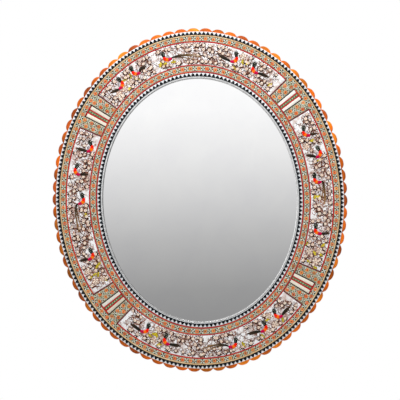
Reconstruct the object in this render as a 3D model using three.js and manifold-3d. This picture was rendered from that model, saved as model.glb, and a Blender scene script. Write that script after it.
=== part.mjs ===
// Oval mirror in an inlaid wooden frame with a scalloped edge, hung on two rings.
// Millimetres: X across, Z up, the front faces -Y. The origin is the oval's centre on the plane of the wall.
// Places round the oval are counted in lobes, clockwise from the top as seen from the front.
// Offsets are measured outwards from the sight edge, and depths forwards from the wall.

import * as THREE from 'three';
import { mergeVertices } from 'three/addons/utils/BufferGeometryUtils.js';
import Module from 'manifold-3d';

const wasm = await Module();
wasm.setup();

// Clearance between pieces that touch
const GAP = 0.3;

// The oval opening and what is counted round it
const SIGHT_WIDTH = 396;
const SIGHT_HEIGHT = 496;
const LOBES = 78;
const OUTER_TEETH_PER_LOBE = 3;
const INNER_TEETH = 172;

// Centres of the four dividers in lobes, clockwise from the upper right, set out by hand and a little uneven
const DIVIDER_PLACES = [10.45, 27.65, 49.05, 66.7];

// Widths of the bands, from the sight edge outwards
const LIP_WIDTH = 2.9;
const INNER_TEETH_WIDTH = 7.3;
const FILLET_WIDTH = 3.1;
const INNER_STRIP_WIDTH = 10;
const FRIEZE_WIDTH = 43.8;
const OUTER_STRIP_WIDTH = 8.7;
const BEAD_WIDTH = 2.6;
const OUTER_TEETH_WIDTH = 7;
const LOBE_LAND = 2.4;
const LOBE_DEPTH = 5.6;
const TOOTH_LAND = 0.8;

// Widths along the frieze, from a divider's centre outwards
const GREEN_STRIPE = 4;
const RED_STRIPE = 2.6;
const CREAM_STRIPE = 6.2;
const DARK_LINE = 1.6;
const BLOCK_WIDTH = 20;
const END_LINE = 2.6;

// Depths
const BUMPER_HEIGHT = 5.7;
const CARCASS_DEPTH = 18;
const BOARD_THICKNESS = 4;
const PACKING_THICKNESS = 2;
const GLASS_THICKNESS = 3;
const INLAY_THICKNESS = 2.7;
const FRIEZE_THICKNESS = 2.2;
const BEAD_THICKNESS = 3.6;
const WHITE_STRIP_THICKNESS = 2;
const SAWTOOTH_THICKNESS = 0.8;
const STRIPE_GROOVE = 0.6;

// Rebate behind the sight edge, and the play of the glass in it
const REBATE_WIDTH = 7.5;
const REBATE_PLAY = 0.5;

// Tongue and socket of the carcass joints
const TONGUE_WIDTH = 36;
const TONGUE_THICKNESS = 6;
const TONGUE_LENGTH = 24;

// Turn buttons and their screws
const BUTTON_WIDTH = 10;
const BUTTON_REACH = 13;
const BUTTON_TAIL = 7;
const BUTTON_THICKNESS = 1.5;
const BUTTON_SETBACK = 6.5;
const BUTTON_SCREW_LENGTH = 14;

// Hangers
const STRAP_WIDTH = 12;
const STRAP_LENGTH = 28;
const STRAP_THICKNESS = 1.2;
const RING_WIRE = 2.4;
const RING_WIDTH = 28;
const RING_DROP = 20;
const RING_CORNER = 4;
const HANGER_LOBES = 13.5;
const STRAP_SCREW_DROP = 10.5;
const STRAP_SCREW_LENGTH = 16;

// Screws
const SCREW_SHANK = 3;
const SCREW_HEAD = 6.4;
const SCREW_HEAD_HEIGHT = 1.2;
const SCREW_POINT = 4;

// Bumpers at the foot
const BUMPER_DIAMETER = 16;
const BUMPER_TAPER = 1.5;
const BUMPER_LOBES = 6;

// Places of the bands across the frame
const bands = {};
let edge = 0;
for (const [name, width] of Object.entries({
  innerTeeth: LIP_WIDTH + INNER_TEETH_WIDTH,
  sightFillet: FILLET_WIDTH,
  innerFlowers: INNER_STRIP_WIDTH,
  friezeFillet: FILLET_WIDTH,
  frieze: FRIEZE_WIDTH,
  panelFillet: FILLET_WIDTH,
  outerFlowers: OUTER_STRIP_WIDTH,
  bead: BEAD_WIDTH,
  outerTeeth: OUTER_TEETH_WIDTH,
})) {
  bands[name] = { inner: edge, outer: edge + width };
  edge += width + GAP;
}
const middle = (bands.frieze.inner + bands.frieze.outer) / 2;
const beadMiddle = (bands.bead.inner + bands.bead.outer) / 2;
const carcassEdge = beadMiddle - GAP / 2;
const rimEdge = beadMiddle + GAP / 2;
const valleyLine = bands.outerTeeth.outer + LOBE_LAND;
const crestLine = valleyLine + LOBE_DEPTH;

// Depths of the faces, from the wall forwards
const carcassBack = BUMPER_HEIGHT + GAP;
const carcassFront = carcassBack + CARCASS_DEPTH;
const boardFront = carcassBack + BOARD_THICKNESS;
const packingBack = boardFront + GAP;
const packingFront = packingBack + PACKING_THICKNESS;
const glassBack = packingFront + GAP;
const glassFront = glassBack + GLASS_THICKNESS;
const rebateFloor = glassFront + GAP;
const inlayBack = carcassFront + GAP;
const inlayFront = inlayBack + INLAY_THICKNESS;
const fittingFront = carcassBack - GAP;

// A closed line that runs at one offset round the sight edge, clockwise from the top
class OvalLine extends THREE.Curve {
  constructor(offset) {
    super();
    this.offset = offset;
    this.arcLengthDivisions = 1000;
  }

  getPoint(t, target = new THREE.Vector2()) {
    const sine = Math.sin(2 * Math.PI * t);
    const cosine = Math.cos(2 * Math.PI * t);
    const normal = new THREE.Vector2(SIGHT_HEIGHT * sine, SIGHT_WIDTH * cosine).normalize();
    target.set(SIGHT_WIDTH / 2 * sine, SIGHT_HEIGHT / 2 * cosine);
    return target.addScaledVector(normal, this.offset);
  }
}

// Lobes are equally long along the line of their crests
const crests = new OvalLine(crestLine);
const valleys = Array.from({ length: LOBES }, (_, lobe) => lobe + 0.5);

function ovalPoint(lobe, offset) {
  const share = lobe / LOBES;
  return new OvalLine(offset).getPoint(crests.getUtoTmapping(share - Math.floor(share)));
}

// A point of the many-sided oval that every band shares, with its corners at the valleys between lobes
function ringPoint(lobe, offset) {
  const valley = Math.floor(lobe - 0.5) + 0.5;
  return ovalPoint(valley, offset).lerp(ovalPoint(valley + 1, offset), lobe - valley);
}

// The place that lies at a share of the way round another line
function lobeAlong(line, share) {
  const lengths = crests.getLengths();
  const step = line.getUtoTmapping(share) * (lengths.length - 1);
  const before = Math.floor(step);
  const length = THREE.MathUtils.lerp(lengths[before], lengths[before + 1], step - before);
  return LOBES * length / lengths.at(-1);
}

function inwardAt(lobe) {
  return ovalPoint(lobe, 0).sub(ovalPoint(lobe, 1));
}

// The two places and all corners of the oval between them
function stationsBetween(from, to) {
  const stations = [from];
  for (let valley = Math.floor(from - 0.5) + 1.5; valley < to; valley += 1) {
    if (valley > from) stations.push(valley);
  }
  return [...stations, to];
}

// Millimetres along the middle of the frieze as a share of a lobe, and the seam left between two pieces
const lobePitch = new OvalLine(middle).getLength() / LOBES;
const seam = GAP / (new OvalLine(0).getLength() / LOBES);
const sides = ['top', 'right', 'bottom', 'left'];
const corners = ['upper_right', 'lower_right', 'lower_left', 'upper_left'];

function alongFrieze(length) {
  return length / lobePitch;
}

// A flat outline seen from the front, made into a board between two depths
function board(outline, back, front, curveSegments = 4) {
  const geometry = new THREE.ExtrudeGeometry(outline, {
    depth: front - back,
    bevelEnabled: false,
    curveSegments,
  });
  return geometry.translate(0, 0, back).rotateX(Math.PI / 2);
}

function sectorOutline(from, to, inner, outer) {
  const stations = stationsBetween(from, to);
  return new THREE.Shape([
    ...stations.map((lobe) => ringPoint(lobe, outer)),
    ...stations.reverse().map((lobe) => ringPoint(lobe, inner)),
  ]);
}

// A line that runs over a panel and down both its ends
function archOutline(from, to, leg, arch, foot) {
  const over = stationsBetween(from, to);
  const under = stationsBetween(from + leg, to - leg).reverse();
  return new THREE.Shape([
    ringPoint(from, foot),
    ...over.map((lobe) => ringPoint(lobe, arch.outer)),
    ringPoint(to, foot),
    ringPoint(to - leg, foot),
    ...under.map((lobe) => ringPoint(lobe, arch.inner)),
    ringPoint(from + leg, foot),
  ]);
}

// A section of [offset, depth] corners carried round the oval, right round or between two places
function carrySection(section, from, to) {
  const closed = from === undefined;
  const stations = closed ? valleys : stationsBetween(from, to);
  const count = section.length;
  const positions = [];
  for (const lobe of stations) {
    for (const [offset, depth] of section) {
      const point = ringPoint(lobe, offset);
      positions.push(point.x, -depth, point.y);
    }
  }
  const index = [];
  const spans = closed ? stations.length : stations.length - 1;
  for (let span = 0; span < spans; span += 1) {
    const here = span * count;
    const next = ((span + 1) % stations.length) * count;
    for (let corner = 0; corner < count; corner += 1) {
      const other = (corner + 1) % count;
      index.push(here + corner, here + other, next + corner);
      index.push(next + corner, here + other, next + other);
    }
  }
  if (!closed) {
    const face = section.map(([offset, depth]) => new THREE.Vector2(offset, depth));
    const last = (stations.length - 1) * count;
    for (const [a, b, c] of THREE.ShapeUtils.triangulateShape(face, [])) {
      index.push(a, c, b);
      index.push(last + a, last + b, last + c);
    }
  }
  const geometry = new THREE.BufferGeometry();
  geometry.setAttribute('position', new THREE.Float32BufferAttribute(positions, 3));
  geometry.setIndex(index);
  return geometry;
}

function bandSection(band, back, front) {
  return [
    [band.inner, back],
    [band.outer, back],
    [band.outer, front],
    [band.inner, front],
  ];
}

// A round bar through the thickness of the frame, for holes
function pegThrough(point, diameter, back, front) {
  const geometry = new THREE.CylinderGeometry(diameter / 2, diameter / 2, front - back, 12);
  return geometry.translate(point.x, -(back + front) / 2, point.y);
}

// Solids for cutting and joining
function toSolid(geometry) {
  const plain = new THREE.BufferGeometry();
  plain.setAttribute('position', geometry.getAttribute('position'));
  plain.setIndex(geometry.getIndex());
  const merged = mergeVertices(plain, 1e-4);
  return new wasm.Manifold(new wasm.Mesh({
    numProp: 3,
    vertProperties: merged.getAttribute('position').array,
    triVerts: Uint32Array.from(merged.getIndex().array),
  }));
}

function toGeometry(solid) {
  const mesh = solid.getMesh();
  const geometry = new THREE.BufferGeometry();
  geometry.setAttribute('position', new THREE.BufferAttribute(mesh.vertProperties, 3));
  geometry.setIndex(new THREE.BufferAttribute(mesh.triVerts, 1));
  return geometry;
}

function cut(geometry, ...tools) {
  let solid = toSolid(geometry);
  for (const tool of tools) solid = solid.subtract(toSolid(tool));
  return toGeometry(solid);
}

// Colours and finishes
function finish(color, roughness, metalness = 0) {
  return new THREE.MeshStandardMaterial({ color, roughness, metalness });
}

const finishes = {
  orangeVarnish: finish(0xc8692a, 0.4),
  bareWood: finish(0xa9825a, 0.7),
  whiteBone: finish(0xe6ebee, 0.45),
  blackHorn: finish(0x11161e, 0.4),
  goldLeaf: finish(0xd9b277, 0.45),
  flowerGround: finish(0xb8a983, 0.5),
  friezeGround: finish(0xc7b3a6, 0.5),
  redLacquer: finish(0xb0303a, 0.45),
  stripedLacquer: finish(0xeee6d2, 0.5),
  darkLacquer: finish(0x4a2f33, 0.5),
  silverGlass: finish(0xd8d9da, 0.05, 1),
  greyPaper: finish(0x8d8578, 0.9),
  hardboard: finish(0x7c5a3c, 0.8),
  brightSteel: finish(0xb9bcc0, 0.35, 1),
  brassPlate: finish(0xc2a05a, 0.4, 1),
  blackRubber: finish(0x1c1c1e, 0.8),
};

const mirror = new THREE.Group();

function addPiece(name, geometry, material, place = mirror) {
  const mesh = new THREE.Mesh(geometry, material);
  mesh.name = name;
  place.add(mesh);
}

// Screws stand with their heads towards the wall
function screwGeometry(headBack, length) {
  const head = SCREW_HEAD / 2;
  const shank = SCREW_SHANK / 2;
  const under = headBack + SCREW_HEAD_HEIGHT;
  const tip = under + length;
  return new THREE.LatheGeometry([
    new THREE.Vector2(0, -tip),
    new THREE.Vector2(shank, -tip + SCREW_POINT),
    new THREE.Vector2(shank, -under),
    new THREE.Vector2(head, -under),
    new THREE.Vector2(head * 0.75, -headBack),
    new THREE.Vector2(0, -headBack),
  ], 10);
}

const boreDiameter = SCREW_SHANK + 2 * GAP;
const buttonBack = fittingFront - BUTTON_THICKNESS;
const buttonHeadBack = buttonBack - GAP - SCREW_HEAD_HEIGHT;
const strapBack = fittingFront - STRAP_THICKNESS;
const strapHeadBack = strapBack - GAP - SCREW_HEAD_HEIGHT;

// Places of the fittings on the carcass's back, one turn button to a segment
const buttonOffset = REBATE_WIDTH + BUTTON_SETBACK;
const buttons = sides.map((side, quarter) => {
  const lobe = LOBES * quarter / 4;
  return { side, lobe, point: ringPoint(lobe, buttonOffset) };
});
const hangers = { right: ringPoint(HANGER_LOBES, middle), left: ringPoint(LOBES - HANGER_LOBES, middle) };

function screwPoint(hanger) {
  return new THREE.Vector2(hanger.x, hanger.y - STRAP_SCREW_DROP);
}

function screwBore(point, headBack, length) {
  const tip = headBack + SCREW_HEAD_HEIGHT + length;
  return pegThrough(point, boreDiameter, carcassBack - 1, tip + GAP);
}

// Carcass segments, rebated for the glass, each with a tongue that enters the next one's socket
const carcassSection = [
  [REBATE_WIDTH, carcassBack],
  [carcassEdge, carcassBack],
  [carcassEdge, carcassFront],
  [0, carcassFront],
  [0, rebateFloor],
  [REBATE_WIDTH, rebateFloor],
];

function tongueBoard(from, to, play) {
  const centre = (REBATE_WIDTH + carcassEdge) / 2;
  const half = TONGUE_WIDTH / 2 + play;
  const depth = carcassBack + CARCASS_DEPTH / 2;
  const thickness = TONGUE_THICKNESS / 2 + play;
  const outline = sectorOutline(from, to, centre - half, centre + half);
  return board(outline, depth - thickness, depth + thickness);
}

function carcassSegment(from, to, bores) {
  const start = from + seam / 2;
  const end = to - seam / 2;
  const blank = toSolid(carrySection(carcassSection, start, end));
  const tongue = toSolid(tongueBoard(end - seam, end + alongFrieze(TONGUE_LENGTH), 0));
  const socket = toSolid(tongueBoard(start - seam, start + alongFrieze(TONGUE_LENGTH + GAP), GAP));
  return cut(toGeometry(blank.add(tongue).subtract(socket)), ...bores);
}

const segmentBores = buttons.map(({ point }) => [screwBore(point, buttonHeadBack, BUTTON_SCREW_LENGTH)]);
segmentBores[1].push(screwBore(screwPoint(hangers.right), strapHeadBack, STRAP_SCREW_LENGTH));
segmentBores[3].push(screwBore(screwPoint(hangers.left), strapHeadBack, STRAP_SCREW_LENGTH));
segmentBores.forEach((bores, index) => {
  const from = index === 0 ? DIVIDER_PLACES[3] - LOBES : DIVIDER_PLACES[index - 1];
  addPiece(`carcass_${sides[index]}`, carcassSegment(from, DIVIDER_PLACES[index], bores), finishes.bareWood);
});

// Scalloped rim in two halves that meet in the valleys at the sides
function scallopedRim(from, to) {
  const stations = stationsBetween(from + seam / 2, to - seam / 2);
  const outline = new THREE.Shape();
  const start = ringPoint(stations[0], valleyLine);
  outline.moveTo(start.x, start.y);
  for (let index = 0; index + 1 < stations.length; index += 1) {
    const left = ringPoint(stations[index], valleyLine);
    const right = ringPoint(stations[index + 1], valleyLine);
    const crest = ovalPoint((stations[index] + stations[index + 1]) / 2, crestLine);
    const chordMiddle = left.clone().lerp(right, 0.5);
    const rise = crest.distanceTo(chordMiddle);
    const radius = (left.distanceToSquared(right) / 4 + rise * rise) / (2 * rise);
    const centre = crest.clone().lerp(chordMiddle, radius / rise);
    const startAngle = left.clone().sub(centre).angle();
    const endAngle = right.clone().sub(centre).angle();
    outline.absarc(centre.x, centre.y, radius, startAngle, endAngle, true);
  }
  for (const lobe of stations.reverse()) {
    const point = ringPoint(lobe, rimEdge);
    outline.lineTo(point.x, point.y);
  }
  return board(outline, carcassBack, carcassFront, 2);
}

const sideValley = Math.floor(LOBES / 4) + 0.5;
addPiece('scalloped_rim_top', scallopedRim(-sideValley, sideValley), finishes.orangeVarnish);
addPiece('scalloped_rim_bottom', scallopedRim(sideValley, LOBES - sideValley), finishes.orangeVarnish);

// Dogtooth borders: a white strip with a black sawtooth strip seated on it, points outwards.
// The inner white strip also makes the pale lip round the mirror.
function sawtoothStrip(inner, outer, teeth) {
  const line = new OvalLine((inner + outer) / 2);
  const zigzag = [];
  for (let tooth = 0; tooth < teeth; tooth += 1) {
    zigzag.push(ringPoint(lobeAlong(line, tooth / teeth), inner + TOOTH_LAND));
    zigzag.push(ringPoint(lobeAlong(line, (tooth + 0.5) / teeth), outer));
  }
  const outline = new THREE.Shape(zigzag);
  const base = valleys.map((lobe) => ringPoint(lobe, inner)).reverse();
  outline.holes.push(new THREE.Path(base));
  const back = inlayBack + WHITE_STRIP_THICKNESS + GAP;
  return board(outline, back, back + SAWTOOTH_THICKNESS);
}

function whiteStrip(band) {
  return carrySection(bandSection(band, inlayBack, inlayBack + WHITE_STRIP_THICKNESS));
}

const outerSawtooth = sawtoothStrip(
  bands.outerTeeth.inner,
  bands.outerTeeth.outer,
  OUTER_TEETH_PER_LOBE * LOBES,
);
const innerSawtooth = sawtoothStrip(LIP_WIDTH, bands.innerTeeth.outer, INNER_TEETH);
addPiece('outer_white_strip', whiteStrip(bands.outerTeeth), finishes.whiteBone);
addPiece('outer_sawtooth_strip', outerSawtooth, finishes.blackHorn);
addPiece('inner_white_strip', whiteStrip(bands.innerTeeth), finishes.whiteBone);
addPiece('inner_sawtooth_strip', innerSawtooth, finishes.blackHorn);

// Continuous bands: a ridged gold bead that covers the rim's joint, flower strips and red fillets
const beadSection = [
  [bands.bead.inner, inlayBack],
  [bands.bead.outer, inlayBack],
  [bands.bead.outer, inlayBack + BEAD_THICKNESS - BEAD_WIDTH / 2],
  [beadMiddle, inlayBack + BEAD_THICKNESS],
  [bands.bead.inner, inlayBack + BEAD_THICKNESS - BEAD_WIDTH / 2],
];
addPiece('gold_bead', carrySection(beadSection), finishes.goldLeaf);

function flatBand(band) {
  return carrySection(bandSection(band, inlayBack, inlayFront));
}

addPiece('outer_flower_strip', flatBand(bands.outerFlowers), finishes.flowerGround);
addPiece('inner_flower_strip', flatBand(bands.innerFlowers), finishes.flowerGround);
addPiece('frieze_fillet', flatBand(bands.friezeFillet), finishes.redLacquer);
addPiece('sight_fillet', flatBand(bands.sightFillet), finishes.redLacquer);

// Half widths of a divider's pieces in lobes, from its centre outwards
const tileHalf = alongFrieze(GREEN_STRIPE / 2 + RED_STRIPE + CREAM_STRIPE);
const filletLeg = alongFrieze(DARK_LINE);
const filletHalf = tileHalf + seam + filletLeg;
const blockStart = filletHalf + seam;
const blockEnd = blockStart + alongFrieze(BLOCK_WIDTH);
const panelFilletStart = blockEnd + seam;
const panelFilletLeg = alongFrieze(END_LINE);
const panelStart = panelFilletStart + panelFilletLeg + seam;
const friezeFoot = bands.frieze.inner;

function inlay(outline, thickness = INLAY_THICKNESS) {
  return board(outline, inlayBack, inlayBack + thickness);
}

// Striped tile with two grooves for its red stripes
function stripeTile(centre) {
  const tile = inlay(sectorOutline(centre - tileHalf, centre + tileHalf, friezeFoot, bands.frieze.outer));
  const near = alongFrieze(GREEN_STRIPE / 2);
  const far = near + alongFrieze(RED_STRIPE);
  const grooves = [[near, far], [-far, -near]].map(([from, to]) => board(
    sectorOutline(centre + from, centre + to, friezeFoot - 1, bands.frieze.outer + 1),
    inlayFront - STRIPE_GROOVE,
    inlayFront + 1,
  ));
  return cut(tile, ...grooves);
}

DIVIDER_PLACES.forEach((centre, index) => {
  addPiece(`stripe_tile_${corners[index]}`, stripeTile(centre), finishes.stripedLacquer);
  const arch = archOutline(centre - filletHalf, centre + filletHalf, filletLeg, bands.panelFillet, friezeFoot);
  addPiece(`divider_fillet_${corners[index]}`, inlay(arch), finishes.darkLacquer);
  for (const [place, side] of [['before', -1], ['after', 1]]) {
    const ends = [centre + side * blockStart, centre + side * blockEnd].sort((a, b) => a - b);
    const block = sectorOutline(...ends, friezeFoot, bands.panelFillet.outer);
    addPiece(`flower_block_${place}_${corners[index]}`, inlay(block), finishes.flowerGround);
  }
});

// Long panels between the dividers, each under its red fillet
DIVIDER_PLACES.forEach((to, index) => {
  const from = index === 0 ? DIVIDER_PLACES[3] - LOBES : DIVIDER_PLACES[index - 1];
  const arch = archOutline(
    from + panelFilletStart,
    to - panelFilletStart,
    panelFilletLeg,
    bands.panelFillet,
    friezeFoot,
  );
  addPiece(`panel_fillet_${sides[index]}`, inlay(arch), finishes.redLacquer);
  const panel = sectorOutline(from + panelStart, to - panelStart, friezeFoot, bands.frieze.outer);
  addPiece(`frieze_panel_${sides[index]}`, inlay(panel, FRIEZE_THICKNESS), finishes.friezeGround);
});

// Mirror, packing sheet and backing board, stacked in the rebate
const sheetOutline = new THREE.Shape(valleys.map((lobe) => ringPoint(lobe, REBATE_WIDTH - REBATE_PLAY)));
addPiece('mirror_glass', board(sheetOutline, glassBack, glassFront), finishes.silverGlass);
addPiece('packing_sheet', board(sheetOutline, packingBack, packingFront), finishes.greyPaper);
addPiece('backing_board', board(sheetOutline, carcassBack, boardFront), finishes.hardboard);

// Turn buttons, each pointing at the oval's centre over the backing board
function turnButton() {
  const round = BUTTON_WIDTH / 2;
  const outline = new THREE.Shape();
  outline.absarc(0, BUTTON_TAIL - round, round, 0, Math.PI);
  outline.absarc(0, round - BUTTON_REACH, round, Math.PI, 2 * Math.PI);
  const hole = new THREE.Path();
  hole.absarc(0, 0, boreDiameter / 2, 0, 2 * Math.PI, true);
  outline.holes.push(hole);
  return board(outline, buttonBack, fittingFront);
}

for (const { side, lobe, point } of buttons) {
  const place = new THREE.Group();
  const inward = inwardAt(lobe);
  place.position.set(point.x, 0, point.y);
  place.rotation.y = Math.atan2(-inward.x, -inward.y);
  mirror.add(place);
  addPiece(`turn_button_${side}`, turnButton(), finishes.brassPlate, place);
  const screw = screwGeometry(buttonHeadBack, BUTTON_SCREW_LENGTH);
  addPiece(`button_screw_${side}`, screw, finishes.brightSteel, place);
}

// Hanger strap: a plate whose upper end curls round the ring's bar, with a rounded foot and a screw hole
const eyeRadius = RING_WIRE / 2 + GAP;
const ringDepth = strapBack - eyeRadius;

function hangerStrap() {
  const curlEnd = THREE.MathUtils.degToRad(250);
  const profile = new THREE.Shape();
  profile.moveTo(fittingFront, -STRAP_LENGTH);
  profile.absarc(ringDepth, 0, eyeRadius + STRAP_THICKNESS, 0, curlEnd);
  profile.absarc(ringDepth, 0, eyeRadius, curlEnd, 0, true);
  profile.lineTo(strapBack, -STRAP_LENGTH);
  const strip = new THREE.ExtrudeGeometry(profile, {
    depth: STRAP_WIDTH,
    bevelEnabled: false,
    curveSegments: 5,
  });
  const lie = new THREE.Matrix4().makeBasis(
    new THREE.Vector3(0, -1, 0),
    new THREE.Vector3(0, 0, 1),
    new THREE.Vector3(-1, 0, 0),
  );
  strip.translate(0, 0, -STRAP_WIDTH / 2).applyMatrix4(lie);
  const half = STRAP_WIDTH / 2;
  const plan = new THREE.Shape();
  plan.moveTo(half, STRAP_LENGTH);
  plan.lineTo(-half, STRAP_LENGTH);
  plan.absarc(0, half - STRAP_LENGTH, half, Math.PI, 2 * Math.PI);
  const rounded = toSolid(strip).intersect(toSolid(board(plan, 0, carcassBack)));
  const screwHole = pegThrough(new THREE.Vector2(0, -STRAP_SCREW_DROP), boreDiameter, 0, carcassBack);
  return cut(toGeometry(rounded), screwHole);
}

// Hanger ring: round wire bent to a D, its straight bar in the strap's eye
function hangerRing() {
  const half = RING_WIDTH / 2;
  const corner = RING_CORNER;
  const bend = new THREE.Path();
  bend.moveTo(corner - half, 0);
  bend.lineTo(half - corner, 0);
  bend.absarc(half - corner, -corner, corner, Math.PI / 2, 0, true);
  bend.absellipse(0, -corner, half, RING_DROP - corner, 0, -Math.PI, true);
  bend.absarc(corner - half, -corner, corner, Math.PI, Math.PI / 2, true);
  const steps = 26;
  const sides = 6;
  const line = bend.getSpacedPoints(steps).slice(0, steps);
  const positions = [];
  const index = [];
  line.forEach((point, step) => {
    const before = line[(step + steps - 1) % steps];
    const after = line[(step + 1) % steps];
    const across = after.clone().sub(before).normalize().rotateAround(new THREE.Vector2(), Math.PI / 2);
    for (let side = 0; side < sides; side += 1) {
      const angle = 2 * Math.PI * side / sides;
      const spread = across.clone().multiplyScalar(RING_WIRE / 2 * Math.cos(angle));
      const depth = ringDepth + RING_WIRE / 2 * Math.sin(angle);
      positions.push(point.x + spread.x, -depth, point.y + spread.y);
      const next = (side + 1) % sides;
      const here = step * sides;
      const there = ((step + 1) % steps) * sides;
      index.push(here + side, here + next, there + side);
      index.push(there + side, here + next, there + next);
    }
  });
  const geometry = new THREE.BufferGeometry();
  geometry.setAttribute('position', new THREE.Float32BufferAttribute(positions, 3));
  geometry.setIndex(index);
  return geometry;
}

for (const [side, point] of Object.entries(hangers)) {
  const place = new THREE.Group();
  place.position.set(point.x, 0, point.y);
  mirror.add(place);
  addPiece(`hanger_strap_${side}`, hangerStrap(), finishes.brightSteel, place);
  addPiece(`hanger_ring_${side}`, hangerRing(), finishes.brightSteel, place);
  const screw = screwGeometry(strapHeadBack, STRAP_SCREW_LENGTH).translate(0, 0, -STRAP_SCREW_DROP);
  addPiece(`strap_screw_${side}`, screw, finishes.brightSteel, place);
}

// Rubber bumpers at the foot, standing on the wall's plane
const bumpers = { right: LOBES / 2 - BUMPER_LOBES, left: LOBES / 2 + BUMPER_LOBES };
for (const [side, lobe] of Object.entries(bumpers)) {
  const root = BUMPER_DIAMETER / 2;
  const bumper = new THREE.LatheGeometry([
    new THREE.Vector2(0, -BUMPER_HEIGHT),
    new THREE.Vector2(root, -BUMPER_HEIGHT),
    new THREE.Vector2(root - BUMPER_TAPER, 0),
    new THREE.Vector2(0, 0),
  ], 16);
  const point = ringPoint(lobe, middle);
  addPiece(`bumper_${side}`, bumper.translate(point.x, 0, point.y), finishes.blackRubber);
}

export default mirror;
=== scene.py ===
# Oval mirror in an inlaid wooden frame with a scalloped edge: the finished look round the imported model.
# Metres: X across, Z up, the front faces -Y, and the wall is the plane Y = 0.
# Places round the oval are counted in lobes, clockwise from the top as seen from the front.
# Offsets are measured outwards from the sight edge, and depths forwards from the wall.

import math
from collections import namedtuple

import bpy
import numpy as np
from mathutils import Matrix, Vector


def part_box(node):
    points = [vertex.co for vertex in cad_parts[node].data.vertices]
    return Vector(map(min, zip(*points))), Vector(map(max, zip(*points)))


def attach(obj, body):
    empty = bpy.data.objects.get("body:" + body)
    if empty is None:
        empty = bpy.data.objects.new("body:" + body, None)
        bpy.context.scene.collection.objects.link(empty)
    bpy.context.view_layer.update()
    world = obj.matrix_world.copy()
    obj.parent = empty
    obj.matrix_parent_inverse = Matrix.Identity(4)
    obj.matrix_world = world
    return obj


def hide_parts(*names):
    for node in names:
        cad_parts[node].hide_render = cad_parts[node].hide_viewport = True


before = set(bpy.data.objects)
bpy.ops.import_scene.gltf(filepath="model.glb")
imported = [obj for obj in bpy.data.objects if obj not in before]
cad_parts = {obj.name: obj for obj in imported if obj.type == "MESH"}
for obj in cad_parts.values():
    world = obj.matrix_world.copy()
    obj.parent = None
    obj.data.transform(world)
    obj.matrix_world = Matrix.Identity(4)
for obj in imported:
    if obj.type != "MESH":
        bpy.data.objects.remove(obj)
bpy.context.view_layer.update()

bl_info = {
    "name": "Inlaid oval mirror",
    "version": (1, 0, 0),
    "blender": (4, 5, 0),
    "location": "View3D > Sidebar > Mirror",
    "description": "Builds the scalloped, inlaid and painted frame of an oval wall mirror",
    "category": "Object",
}

MM = 0.001

# Clearance between pieces that touch, and how far the red lines are drawn in from their grooves' edges
GAP = 0.3 * MM
LINE_ROOM = 0.4 * MM

# How deep painted ornament is sunk in its ground, and how far and over what length a board's ends fall back
SUNK = 0.1 * MM
END_FALL = 0.3 * MM
END_EASE = 0.35 * MM

# The oval opening and what is counted round it
HALF_WIDTH = 198 * MM
HALF_HEIGHT = 248 * MM
LOBES = 78
OUTER_TEETH = 3 * LOBES
INNER_TEETH = 172

# Centres of the four dividers in lobes, clockwise from the upper right, set out by hand and a little uneven
DIVIDERS = (10.45, 27.65, 49.05, 66.7)

# Widths of the bands, from the sight edge outwards
BAND_WIDTHS = {
    "inner_teeth": 10.2 * MM,
    "sight_fillet": 3.1 * MM,
    "inner_flowers": 10 * MM,
    "frieze_fillet": 3.1 * MM,
    "frieze": 43.8 * MM,
    "panel_fillet": 3.1 * MM,
    "outer_flowers": 8.7 * MM,
    "bead": 2.6 * MM,
    "outer_teeth": 7 * MM,
}
LIP_WIDTH = 2.9 * MM
TOOTH_LAND = 0.8 * MM
LOBE_LAND = 2.4 * MM
LOBE_DEPTH = 5.6 * MM

# Widths along the frieze, from a divider's centre outwards
GREEN_STRIPE = 4 * MM
RED_STRIPE = 2.6 * MM
CREAM_STRIPE = 6.2 * MM
DARK_LINE = 1.6 * MM
BLOCK_WIDTH = 20 * MM
END_LINE = 2.6 * MM

# Depths of the faces, from the wall forwards
CARCASS_BACK = 6 * MM
CARCASS_FRONT = 24 * MM
INLAY_BACK = 24.3 * MM
INLAY_FRONT = 27 * MM
FRIEZE_FRONT = 26.5 * MM
BEAD_FRONT = 27.9 * MM
WHITE_FRONT = 26.3 * MM
SAWTOOTH_BACK = 26.6 * MM
SAWTOOTH_FRONT = 27.4 * MM
GROOVE_FLOOR = 26.4 * MM
FLOWER_GROUND = INLAY_FRONT - 0.2 * MM

# Fittings on the back
FITTING_FRONT = 5.7 * MM
BUTTON_BACK = 4.2 * MM
BUTTON_WIDTH = 10 * MM
BUTTON_REACH = 13 * MM
BUTTON_TAIL = 7 * MM
STRAP_THICKNESS = 1.2 * MM
STRAP_BACK = FITTING_FRONT - STRAP_THICKNESS
STRAP_WIDTH = 12 * MM
STRAP_LENGTH = 28 * MM
STRAP_SCREW_DROP = 10.5 * MM
RING_WIRE = 2.4 * MM
SCREW_BORE = 1.8 * MM
SCREW_SHANK = 3 * MM
SCREW_HEAD = 6.4 * MM
SCREW_HEIGHT = 1.2 * MM
SCREW_POINT = 4 * MM
BUTTON_SCREW = 14 * MM
STRAP_SCREW = 16 * MM
CURL_DEGREES = 250
RING_HALF = 14 * MM
RING_CORNER = 4 * MM
RING_DROP = 20 * MM
BUMPER_DISH = 3 * MM

# Cross recess of a screw: depth, half the width of an arm, reach of an arm, and run of its sides and ends
RECESS_DEPTH = 0.6 * MM
RECESS_HALF = 0.48 * MM
RECESS_REACH = 2 * MM
RECESS_SIDE = 0.16 * MM
RECESS_END = 0.5 * MM

# Smallest distance of the little leaves and dots from the edge of their ground, and how many there are
FLECK_EDGE = 1.2 * MM
FLECKS_PER_FLOWER = 7
FLECKS_PER_BLOCK = 90

SIDES = ("top", "right", "bottom", "left")
CORNERS = ("upper_right", "lower_right", "lower_left", "upper_left")

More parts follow.
